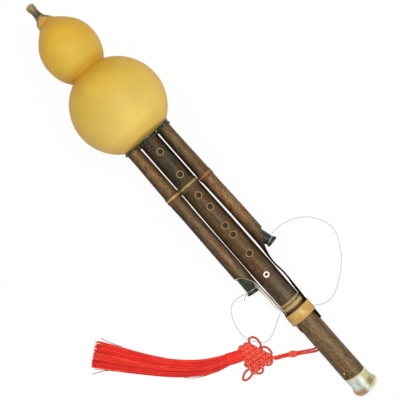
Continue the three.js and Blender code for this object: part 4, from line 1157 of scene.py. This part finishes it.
def make_melody():
    outline = [
        (PIPE_TOP, CORE), (PIPE_TOP, PIPE_TENON), (SHOULDER, PIPE_TENON), (SHOULDER, PIPE_TOP_RADIUS),
        *[(x, melody_radius(x) + h) for x, h in ridge(NODE, *NODE_RIDGE)],
        *[(x, melody_radius(x)) for x, _ in MELODY_SWELL if NODE + 4 < x < LOWER_NODE],
        *[(x, melody_radius(x) + h) for x, h in ridge(LOWER_NODE, *LOWER_RIDGE)],
        *[(x, melody_radius(x)) for x, _ in MELODY_SWELL if x > LOWER_NODE + 4],
        (PIPE_END - 0.3, PIPE_END_RADIUS), (PIPE_END, PIPE_END_RADIUS - 0.3), (PIPE_END, PIPE_BORE),
        (PIPE_TOP + PIPE_SEPTUM, PIPE_BORE), (PIPE_TOP + PIPE_SEPTUM, CORE), (PIPE_TOP, CORE),
    ]
    pipe = lathe("melody_pipe_piece", outline, 96)
    seat, cord_hole = BUSHING_RADIUS + GAP / 3, TASSEL_HOLE_RADIUS
    cutters = [
        hole(s, turn, HOLE_RADIUS, HOLE_RIM, HOLE_CHAMFER)
        for s, turn in (*FINGER_HOLES, (THUMB_HOLE, 180))
    ]
    cutters.append(hole(BUSHING, BUSHING_TURN, seat, seat, 0.3))
    cutters.append(hole(VENT, VENT_TURN, VENT_RADIUS, VENT_RADIUS + 0.35, 0.35))
    for x in (TASSEL_HOLE - TASSEL_SPREAD / 2, TASSEL_HOLE + TASSEL_SPREAD / 2):
        cutters.append(hole(x, 180, cord_hole, cord_hole + 0.2, 0.3, TASSEL_HOLE))
    cut(pipe, *cutters)
    finished(pipe, MELODY, ["melody_pipe"], "dark_bamboo", limit=30)
    second_material(pipe, PAINTED_GLOW_BORE, lambda p: (
        hypot(p.y - PIPES_ASIDE, p.z) < PIPE_BORE + 0.1 and PIPE_TOP < p.x < PIPE_END - 0.1))


def make_bushing():
    top = melody_radius(BUSHING) + BUSHING_PROUD
    low = top - BUSHING_DEPTH
    outline = [
        (low, BUSHING_BORE), (low, BUSHING_RADIUS), (top - 0.35, BUSHING_RADIUS),
        (top - 0.1, BUSHING_RADIUS - 0.12), (top, BUSHING_RADIUS - 0.4),
        (top - 0.02, BUSHING_BORE + 0.4), (top - 0.2, BUSHING_BORE + 0.1), (top - 0.6, BUSHING_BORE),
        (low, BUSHING_BORE),
    ]
    ring = lathe("hole_bushing_piece", outline, 48, radial_matrix(BUSHING, BUSHING_TURN))
    return finished(ring, BONE, ["hole_bushing"], "bone")


# Drones
def drone_radius(name, x):
    d = DRONES[name]
    straight = interpolated(x, [(SHOULDER, DRONE_RADIUS), (d["scarf"], d["end"])])
    return straight + interpolated(x, d["swell"])


@cache
def drone_line(name):
    """Where a drone stands, as (station, offset from its pitch), down to its tongue's tip."""
    d = DRONES[name]
    start, end = d["scarf"] + SCARF_LENGTH / 2, BAND - BAND_WIDTH / 2
    pinched = melody_radius(BAND) + GAP + d["end"] - PITCH
    bow, span = FAN + d["bow"], end - start
    top, middle, low = d["closer"]
    first, second, third = d["after"]
    straight = [
        (SHOULDER, 0), (SHOULDER + 9, top), (d["node"], FAN * FAN_AT_NODE + top),
        (FAN_END, FAN + middle), (d["scarf"] - 8, FAN + low),
    ]
    tongue = [
        (start - span / 4, FAN + low * 0.8), (start, FAN + low / 3),
        (start + 0.3 * span, FAN + d["dip"]), (start + 0.5 * span, bow + first),
        (start + 0.7 * span, bow + second), (start + 0.9 * span, (bow + pinched) / 2 + third),
        (end, pinched), (BAND + 5, pinched), (TONGUE_END + 2, pinched - d["close"]),
    ]
    return straight + [(p.x, p.y) for p in spline([(x, y, 0) for x, y in tongue], 12)]


def drone_offset(name, x):
    """How far a drone, or its tongue, stands out from its pitch at a station."""
    return interpolated(x, drone_line(name))


def cut_roll(name, x):
    """How far a drone's cut face is turned up at a station; it lies level under the band."""
    roll = DRONES[name]["roll"]
    first, last = DRONES[name]["scarf"] + SCARF_LENGTH, BAND - BAND_WIDTH / 2 - 2
    return radians(interpolated(x, [(first, roll), (last - 7, 0.85 * roll), (last, 0)]))


def waste(name, ahead=0):
    """What a drone's quill cut takes away, moved ahead of the cut by a clearance."""
    d = DRONES[name]
    start, r, half = d["scarf"], d["end"], 14
    low, last, end, steps = TONGUE_DEPTH - r, start + d["cut"], TONGUE_END + 2, 44
    edge = [(start - 0.6, r + 0.8, 0)]
    edge += bezier((start, r, 0), (start + SCARF_BELLY, low, 0), (last, low, 0), 32)
    for i in range(1, steps + 1):
        x = last + (end - last) * i / steps
        edge.append((x, interpolated(x, [(BAND + 4, low), (BAND + 6.5, d["tail"] - r)]), 0))
    rings = []
    for x, y, _ in edge:
        x, y, turn = x + ahead, y + ahead, cut_roll(name, x + ahead)
        c, s = cos(turn), sin(turn)
        stand = drone_offset(name, x) + PITCH
        rings.append([
            (x, d["side"] * (a * c - z * s + stand), a * s + z * c)
            for a, z in ((y, -half), (2 * DRONE_RADIUS, -half), (2 * DRONE_RADIUS, half), (y, half))
        ])
    return loft("waste", rings)


def make_drone(name):
    d, step_in, septum = DRONES[name], SHOULDER + 2, DRONE_TOP + DRONE_SEPTUM
    steps = [d["scarf"] + (TONGUE_END - d["scarf"]) * i / 70 for i in range(71)]
    outline = [
        (DRONE_TOP, CORE), (DRONE_TOP, DRONE_TENON), (SHOULDER, DRONE_TENON), (SHOULDER, DRONE_RADIUS),
        (SHOULDER + 9, drone_radius(name, SHOULDER + 9)),
        *[(x, drone_radius(name, x) + h) for x, h in ridge(d["node"], *DRONE_RIDGE)],
        *[(x, drone_radius(name, x)) for x in (*DRONE_STATIONS, d["scarf"] - 8, *steps)],
        *[(x, DRONE_BORE) for x in (*reversed(steps), FAN_END, d["node"], step_in)],
        (step_in, DRONE_TENON_BORE), (septum, DRONE_TENON_BORE), (septum, CORE),
    ]
    rings = []
    for x, r in outline:
        y = PITCH + drone_offset(name, x)
        rings.append([(x, d["side"] * (y + r * sin(a)), r * cos(a)) for a in around(72)])
    pipe = loft(name + "_drone_pipe_piece", rings, closed=True)
    cut(pipe, waste(name), spigot(name, GAP / 3))
    finished(pipe, DRONE_LOOKS[name], [name + "_drone_pipe"], "brown_bamboo", limit=30)

    def bare(p):
        """Inside the pipe or on its cut, past the start of the scarf."""
        across = d["side"] * (p.y - PIPES_ASIDE) - PITCH - drone_offset(name, p.x)
        return p.x > d["scarf"] - 0.5 and hypot(across, p.z) < drone_radius(name, p.x) - 0.12

    second_material(pipe, CUT_LOOKS[name], bare)


def plug_matrix(name):
    d = DRONES[name]
    out = d["side"] * (PITCH + drone_offset(name, d["plug"]))
    turn = Matrix.Rotation(d["side"] * radians(d["tilt"]), 4, "Z")
    return Matrix.Translation((d["plug"], out, 0)) @ turn


def spigot(name, grow):
    """The plug's end inside the drone, or the socket for it when grown by a clearance."""
    profile = [
        (-PLUG_SPIGOT_LENGTH - grow, PLUG_SPIGOT_TIP + grow), (0.3, PLUG_SPIGOT + grow),
        ((PLUG_WAIST if grow else 0.3) + grow, PLUG_SPIGOT + grow),
    ]
    return lathe("spigot", profile, 48, plug_matrix(name))


def bent(name, points):
    """Points on a plug, moved as its outer end bends back towards the pipe."""
    d, matrix = DRONES[name], plug_matrix(name)
    moved = []
    for p in points:
        q = matrix.inverted() @ Vector(p)
        share = min(1, max(0, q.x / PLUG_END))
        turn, side = radians(d["bend"]) * share ** 3, d["side"]
        x = q.x + side * q.y * sin(turn)
        y = q.y * cos(turn) - side * d["sag"] * share ** 2
        moved.append(matrix @ Vector((x, y, q.z)))
    return moved


def make_plug(name):
    flare = (PLUG_MOUTH - PLUG_WAIST_RADIUS) / PLUG_WAIST
    groove = PLUG_WAIST + PLUG_GROOVE_WIDTH
    low = PLUG_WAIST_RADIUS - PLUG_GROOVE
    cone = lathe(name + "_plug_piece", [
        (-PLUG_MOUTH, PLUG_MOUTH * (1 + flare)), (PLUG_WAIST - 0.15, PLUG_WAIST_RADIUS),
        (PLUG_WAIST, PLUG_WAIST_RADIUS - 0.15), (PLUG_WAIST, low), (groove, low),
        (groove, PLUG_WAIST_RADIUS - 0.1), (groove + 0.4, PLUG_WAIST_RADIUS + 0.1),
        (PLUG_END - 1.6, PLUG_END_RADIUS - 0.25), (PLUG_END - 0.7, PLUG_END_RADIUS),
        (PLUG_END - 0.2, PLUG_END_RADIUS - 0.1), (PLUG_END, PLUG_END_RADIUS - 0.5),
    ], 64, plug_matrix(name))
    verts = cone.data.vertices
    for v, p in zip(verts, bent(name, [laid(v.co) for v in verts])):
        v.co = row(p)
    combined(cone, [waste(name, GAP / 2)], "INTERSECT")
    combined(cone, [spigot(name, 0)], "UNION")
    return finished(cone, HORN, [name + "_plug"], "dark_horn", body=name + "_plug")


def make_binding(name):
    """Thread wound round the plug's groove; the left one has a free tail."""
    per_turn = 40
    steps = int(BINDING_TURNS * per_turn)
    matrix = plug_matrix(name)
    points = []
    for i in range(steps + 1):
        a = 2 * pi * i / per_turn
        x = PLUG_WAIST + BINDING_LIFT + (PLUG_GROOVE_WIDTH - 2 * BINDING_LIFT) * i / steps
        r = PLUG_WAIST_RADIUS - PLUG_GROOVE + BINDING_LIFT
        points.append(matrix @ Vector((x, r * sin(a), r * cos(a))))
    pieces = [tube("turns", bent(name, points), BINDING_RADIUS, 10)]
    if name == "left":
        pieces.append(tube("tail", resampled(spline(TAIL, 8), 24), THREAD * 0.45, 8, on_table))
    wound = together(pieces, name + "_plug_binding_piece")
    finished(wound, BINDING, [name + "_plug_binding"], "thread", body=name + "_plug", limit=60)


# Collars
def collar(node, y, radius, tenon, end, rooms):
    """A ridged horn ring with flared wings, cut to the gourd's round end and to its neighbours."""
    outer, spread = radius + COLLAR_WALL, COLLAR_SPREAD
    w = COLLAR_RIDGE_WIDTH
    outline = [
        (COLLAR_ROOT, outer + spread), (end - 4.4 * w, outer + 0.7 * spread),
        (end - 3 * w, outer + 0.2 * spread), (end - 2 * w, outer - COLLAR_RIDGE),
        (end - 1.5 * w, outer - COLLAR_RIDGE + 0.05), (end - w, outer), (end - 0.75 * w, outer + 0.28),
        (end - 0.5 * w, outer + COLLAR_RIDGE), (end - 0.25 * w, outer + 0.28), (end, outer - 0.05),
        (end, radius + GAP / 3), (SHOULDER - GAP, radius + GAP / 3), (SHOULDER - GAP, tenon + GAP),
        (COLLAR_ROOT, tenon + GAP), (COLLAR_ROOT, outer + spread),
    ]
    ring = lathe(node + "_piece", outline, 96, Matrix.Translation((0, y, 0)))
    gourd = lathe("grown", gourd_profile(GAP), 144, place=row)
    cut(ring, gourd, *[
        lathe("room", [(0, r), (BULB_RADIUS + 4, r)], 72, Matrix.Translation((0, room_y, 0)))
        for room_y, r in rooms
    ])
    finished(ring, HORN, [node], "dark_horn")


# Band and foot
def band_outline(grow, steps=40):
    """Round the melody pipe and tight over both tongues, as (y, z) pairs."""
    radius = melody_radius(BAND) + GAP / 2 + grow
    side = melody_radius(BAND) + GAP + TONGUE_DEPTH + GAP / 2 + grow
    reach = hypot(side, BAND_FLAT)
    touch = atan2(BAND_FLAT, side) + acos(radius / reach)
    points = []
    for flip in (0, pi):
        points += [(side * cos(flip), -BAND_FLAT * cos(flip))]
        points += [(side * cos(flip), BAND_FLAT * cos(flip))]
        for i in range(steps + 1):
            a = flip + touch + (pi - 2 * touch) * i / steps
            points.append((radius * cos(a), radius * sin(a)))
    return points


def make_band():
    start, end = BAND - BAND_WIDTH / 2, BAND + BAND_WIDTH / 2
    layers = [(start, 0), (start, BAND_WALL - 0.15), (start + 0.15, BAND_WALL),
              (end - 0.15, BAND_WALL), (end, BAND_WALL - 0.15), (end, 0)]
    rings = [[(x, y, z) for y, z in band_outline(grow)] for x, grow in layers]
    strip = loft("binding_band_piece", rings, closed=True)
    return finished(strip, STRIP, ["binding_band"], "band_strip", limit=50)


def foot_ring(station, corner, inradius):
    """A rounded square section of the foot."""
    flare, spread, aside = [interpolated(station, s) for s in (FOOT_FLARE, FOOT_SPREAD, FOOT_ASIDE)]
    ring = []
    for a in around(96):
        edge = copysign(abs(cos(2 * a)) ** 1.6, cos(2 * a))
        r = ((corner + inradius) / 2 + edge * (corner - inradius) / 2) * flare
        t = a + radians(FOOT_TURN)
        ring.append((station, r * sin(t) * spread + aside, r * cos(t)))
    return ring


def make_foot():
    bell = loft("foot_bell_piece", [foot_ring(*s) for s in FOOT_SECTIONS])
    tip = FOOT_START - FOOT_SPIGOT_LENGTH
    combined(bell, [lathe("rod", [(tip, FOOT_SPIGOT), (FOOT_WAIST, FOOT_SPIGOT)], 64)], "UNION")
    bore = lathe("bore", [
        (tip - 2, FOOT_BORE), (FOOT_WAIST, FOOT_BORE),
        (FOOT_WIDE, (FOOT_BORE + FOOT_MOUTH) / 2), (FOOT_END - 0.6, FOOT_MOUTH - 0.3),
        (FOOT_END, FOOT_MOUTH + 0.2), (FOOT_END + 2, FOOT_MOUTH + 1),
    ], 64)
    size = 60
    below = object_from("below", [
        (x * size + FOOT_WIDE + BULB_PLACE.x / MM, y * size, z * size - size)
        for x in (-1, 1) for y in (-1, 1) for z in (-1, 1)
    ], [(0, 1, 3, 2), (4, 6, 7, 5), (0, 4, 5, 1), (2, 3, 7, 6), (0, 2, 6, 4), (1, 5, 7, 3)],
        place=lambda p: Vector(p) * MM)
    cut(bell, bore, outward(below))
    return finished(bell, FOOT, ["foot_bell"], "pale_horn", limit=24)


# Knots and tassel
def small_knot():
    """Round turns of cord side by side, with the cords passing through."""
    k = BUTTON
    heading = radians(k["heading"])
    run = Vector((cos(heading), sin(heading), 0))
    side = left_of(run)
    centre = Vector((k["x"], k["y"], k["z"]))
    turns, per_turn, cord = 4.4, 26, 1.7
    steps = int(turns * per_turn)
    points = []
    for i in range(steps + 1):
        share = i / steps
        a = 2 * pi * i / per_turn
        r = (k["radius"] - cord / 2) * (0.72 + 0.28 * sin(pi * share))
        x = (share - 0.5) * (k["length"] - cord)
        up = Vector((0, 0, r * sin(a)))
        points.append(centre + run * x + side * (r * cos(a)) + up)
    made = tube("small_knot_piece", points, cord / 2, 12, on_table)
    return finished(made, KNOT_RED, ["small_knot"], "red_cord", limit=80)


def on_knot(along, down):
    """A place on the knot's flat body, from shares along and down its four corners."""
    a, b, c, d = [Vector((x, y, 0)) for x, y in KNOT_CORNERS]
    return a.lerp(b, along).lerp(d.lerp(c, along), down)


def knot_pass(index, across):
    """One doubled pass through the knot, down one side and back beside itself."""
    last = KNOT_PASSES - 1
    steps = 40
    share = 0.02 + 0.96 * index / last

    def place(t):
        return on_knot(share, t) if across else on_knot(t, share)

    lane = []
    for i in range(steps + 1):
        t = i / steps
        p = place(t)
        run = (place(min(1, t + 0.01)) - place(max(0, t - 0.01))).normalized()
        wave = cos(pi * (t * last + index)) * (-1 if across else 1)
        lane.append((p, run, KNOT_MIDDLE + wave * KNOT_RISE))

    def apart(t):
        return KNOT_APART * (1 if across else 0.6 + 0.4 * t)

    there, back = [
        [p + left_of(run) * way * apart(i / steps) + Vector((0, 0, z))
         for i, (p, run, z) in enumerate(lane)]
        for way in (1, -1)
    ]
    turns = []
    for (p, run, z), way, t in ((lane[-1], 1, 1), (lane[0], -1, 0)):
        side = left_of(run) * way
        turns.append([
            p + (side * cos(a) + run * way * sin(a)) * apart(t) + Vector((0, 0, z))
            for a in [pi * j / 6 for j in range(1, 6)]
        ])
    return there + turns[0] + back[::-1] + turns[1]


def knot_loop(edge, start, end, reach, slant):
    """A loop that leaves one edge of the knot and comes back to it."""
    corners = [Vector((x, y, 0)) for x, y in KNOT_CORNERS]
    first, last = corners[edge], corners[(edge + 1) % 4]
    run = (last - first).normalized()
    out = left_of(run)
    a, b = first.lerp(last, start), first.lerp(last, end)
    width, middle, far = (b - a).length, a.lerp(b, 0.5), reach - CORD / 2

    def at(base, along, away, z=KNOT_MIDDLE):
        p = base + run * along + out * away
        return (p.x, p.y, z)

    tilt = slant / 2
    return spline([
        at(a, width * 0.16, -CORD), at(a, width * 0.08, 0), at(a, tilt - width * 0.1, far * 0.5),
        at(middle, slant - width * 0.3, far * 0.9), at(middle, slant, far),
        at(middle, slant + width * 0.3, far * 0.9), at(b, tilt + width * 0.1, far * 0.5),
        at(b, -width * 0.08, 0), at(b, -width * 0.16, -CORD),
    ], 8)


def pan_chang_knot():
    r = KNOT_CORD / 2
    passes = [knot_pass(index, across) for across in (False, True) for index in range(KNOT_PASSES)]
    pieces = [tube("pass", line, r, 10, on_table, closed=True) for line in passes]
    pieces += [tube("loop", knot_loop(*loop), r, 12, on_table) for loop in KNOT_LOOPS]
    made = together(pieces, "pan_chang_knot_piece")
    return finished(made, KNOT_RED, ["pan_chang_knot"], "red_cord", limit=80)


def with_tone(obj, tones):
    attribute = obj.data.attributes.new("tone", "FLOAT", "POINT")
    attribute.data.foreach_set("value", tones)
    return obj


def strands(name, lines, radius, sides=5):
    """Many thin strands as one mesh, each with its own tone."""
    verts, faces, tones = [], [], []
    for line, tone in lines:
        faces += [tuple(len(verts) + v for v in f) for f in body_faces(len(line), sides)]
        verts += [p for ring in rings_along(line, radius, sides) for p in ring]
        tones += [tone] * (len(line) * sides)
    return with_tone(outward(object_from(name, verts, faces, on_table)), tones)


def tassel_head():
    """Strands laid side by side round a plain core."""
    start, end = Vector((*HEAD_START, 0)), Vector((*HEAD_END, 0))
    run, length = (end - start).normalized(), (end - start).length
    side = left_of(run)

    def line(radius, a, steps):
        found = []
        for i in range(steps + 1):
            x = length * i / steps
            r = interpolated(x / length, HEAD_SHARES) * radius
            up = Vector((0, 0, HEAD_RADIUS + r * sin(a)))
            found.append(start + run * x + side * r * cos(a) + up)
        return found

    lines = []
    for a in around(HEAD_STRANDS):
        radius = (HEAD_RADIUS - STRAND / 2) * (1 - 0.08 * rng.random())
        lines.append((line(radius, a, 13), 0.1 + 0.8 * rng.random()))
    made = strands("tassel_head_piece", lines, STRAND / 2 * 1.1)
    core = zip(*[line(HEAD_RADIUS - STRAND, a, 11) for a in around(40)])
    inner = loft("tassel_head_core", list(core), on_table)
    with_tone(inner, [0.35] * len(inner.data.vertices))
    finished(inner, SILK, [], "red_cord")
    finished(made, SILK, ["tassel_head"], "red_cord", limit=80)


SKIRT_LINE = spline([(x, y, 0) for x, y in SKIRT], 6)


def span_at(count, share):
    """Which span of a row of values a share of its length falls in, and how far into it."""
    f = share * (count - 1)
    i = min(int(f), count - 2)
    return i, f - i


def skirt_point(share, across, up):
    """A place in the skirt, from shares along it, across it and up it."""
    i, t = span_at(len(SKIRT), share)
    width, height = [v[i] * (1 - t) + v[i + 1] * t for v in (SKIRT_HALF_WIDTHS, SKIRT_HEIGHTS)]
    line, last = SKIRT_LINE, len(SKIRT_LINE) - 1
    j, u = span_at(len(line), share)
    run = (line[min(j + 2, last)] - line[max(j - 1, 0)]).normalized()
    aside = left_of(run) * across * (width - STRAND / 2)
    z = STRAND / 2 + (height - STRAND) / 2 * (1 + up)
    return line[j].lerp(line[j + 1], u) + aside + Vector((0, 0, z))


def tassel_skirt():
    """Long strands that drift and wave a little, and a few strays."""
    lines, steps = [], 26
    for _ in range(STRANDS):
        r = sqrt(rng.random())
        a = 2 * pi * rng.random()
        end = 1.012 - 0.085 * rng.random() ** 1.6
        drift, wobble, phase = rng.uniform(-0.1, 0.1), rng.uniform(0.0, 0.05), rng.uniform(0, 6.3)
        line = []
        for i in range(steps + 1):
            s = end * i / steps
            across = r * cos(a) + drift * s + wobble * sin(phase + 9 * s)
            up = r * sin(a) + wobble * cos(phase + 7 * s)
            limit = hypot(across, up)
            if limit > 1:
                across, up = across / limit, up / limit
            line.append(skirt_point(s, across, up))
        lines.append((line, rng.random()))
    lines += [(spline([photo_point(*p) for p in stray], 6), -0.35) for stray in STRAYS]
    made = strands("tassel_skirt_piece", lines, STRAND / 2)
    finished(made, SILK, ["tassel_skirt"], "red_cord", limit=80)


def photo_point(u, v, height):
    """A point on the table from its place in the photograph, at a height in millimetres."""
    scale, half = VIEW_FIELD / PHOTO_SIZE, PHOTO_SIZE / 2
    ray = IMAGE_RIGHT * (u - half) * scale + IMAGE_UP * (half - v) * scale
    eye = row((*VIEW_POINT, VIEW_DISTANCE))
    way = TIPPED.to_3x3() @ (ray + Vector((0, 0, -VIEW_DISTANCE)))
    t = (height * MM - eye.z) / way.z
    p = (eye + way * t - Vector((BULB_PLACE.x, 0, 0))) / MM
    return (p.x, p.y, height)


STRAYS = [  # places in the photograph, each with a height
    ((122, 346.5, 2.4), (112.6, 343.7, 1.2), (106, 340.8, 0.4), (100.8, 338, 0.4)),
    ((124, 369, 2), (116.6, 370.2, 0.6), (102.9, 371.2, 0.3), (92.1, 374.3, 0.3)),
    ((170, 373, 2), (178, 376, 0.6), (192.1, 378.1, 0.3), (207.1, 375.2, 0.6), (214, 372, 2)),
]


knot_pieces = [small_knot(), pan_chang_knot()]
for name in ("left", "right"):
    line, route = loose_cord(name, "knot_cord_" + name)
    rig.cord(line, exit=route[0], length=length_of(route), diameter=CORD * MM, far_end="knot",
            stiffness="limp", lay="loose", path=route, with_pieces=knot_pieces)
    plug_thread(name)
tassel_head()
tassel_skirt()

make_gourd()
make_nib()
make_melody()
make_bushing()
make_band()
make_foot()
collar("melody_collar", 0, PIPE_TOP_RADIUS, PIPE_TENON, FLOOR + MELODY_COLLAR,
       [(PITCH, DRONE_RADIUS + GAP), (-PITCH, DRONE_RADIUS + GAP)])
for name, d in DRONES.items():
    collar(name + "_drone_collar", d["side"] * PITCH, DRONE_RADIUS, DRONE_TENON, FLOOR + d["collar"],
           [(0, PIPE_TOP_RADIUS + COLLAR_WALL + COLLAR_RIDGE + GAP / 2)])
    make_drone(name)
    make_plug(name)
    make_binding(name)
for node in ("melody_reed", "left_drone_reed", "right_drone_reed"):
    mesh = frame["nodes"][node].data
    mesh.materials.clear()
    mesh.materials.append(BRASS)


# Floor and light, in metres
FLOOR_HALF, FLOOR_DROP, FLOOR_GREY, FLOOR_WHITE = 3, 0.00005, 0.85, 0.95
SKY = 0.46
LAMPS = [("key", (0.12, 0.24, 1.12), 0.6, 9), ("fill", (-0.5, -0.3, 0.9), 0.8, 2)]


def make_floor():
    """A pale table that the camera and reflections see as white."""
    s = FLOOR_HALF
    mesh = bpy.data.meshes.new("floor")
    mesh.from_pydata([(-s, -s, 0), (s, -s, 0), (s, s, 0), (-s, s, 0)], [], [(0, 1, 2, 3)])
    floor = added("floor", mesh)
    floor.location.z = -FLOOR_DROP
    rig.stage(floor)
    look = Look("white_table", 0.9, Base_Color=(FLOOR_GREY, FLOOR_GREY, FLOOR_GREY, 1))
    rays = look.node("LightPath").outputs
    seen = look.math("MAXIMUM", rays["Is Camera Ray"], rays["Is Glossy Ray"])
    seen = look.math("MAXIMUM", seen, rays["Is Transmission Ray"])
    grey, glow = look.shader.outputs[0], look.node("Emission").outputs[0]
    mix = look.node("MixShader", {0: look.times(seen, FLOOR_WHITE), 1: grey, 2: glow})
    look.put(look.tree.nodes["Material Output"], "Surface", mix.outputs[0])
    mesh.materials.append(look.material)


def make_lights():
    """A soft sky that the camera sees as plain white, and two lamps."""
    world = bpy.data.worlds.new("world")
    bpy.context.scene.world = world
    world.use_nodes = True
    nodes, links = world.node_tree.nodes, world.node_tree.links
    soft, white = nodes["Background"], nodes.new("ShaderNodeBackground")
    for sky, strength in ((soft, SKY), (white, 1)):
        sky.inputs["Color"].default_value = (1, 1, 1, 1)
        sky.inputs["Strength"].default_value = strength
    path, mix = nodes.new("ShaderNodeLightPath"), nodes.new("ShaderNodeMixShader")
    for i, made in enumerate((path.outputs["Is Camera Ray"], soft.outputs[0], white.outputs[0])):
        links.new(made, mix.inputs[i])
    links.new(mix.outputs[0], nodes["World Output"].inputs["Surface"])
    for label, place, size, power in LAMPS:
        data = bpy.data.lights.new(label, "AREA")
        data.size, data.energy = size, power
        lamp = added(label, data)
        lamp.location = place
        lamp.rotation_euler = (-Vector(place)).to_track_quat("-Z", "Y").to_euler()


make_floor()
make_lights()
bpy.context.scene.view_settings.view_transform = "Standard"

shown_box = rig.bounds()
with open("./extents.json", "w") as out:
    json.dump({
        "cad": [list(v) for v in cad_box],
        "shown": [list(v) for v in shown_box],
    }, out)
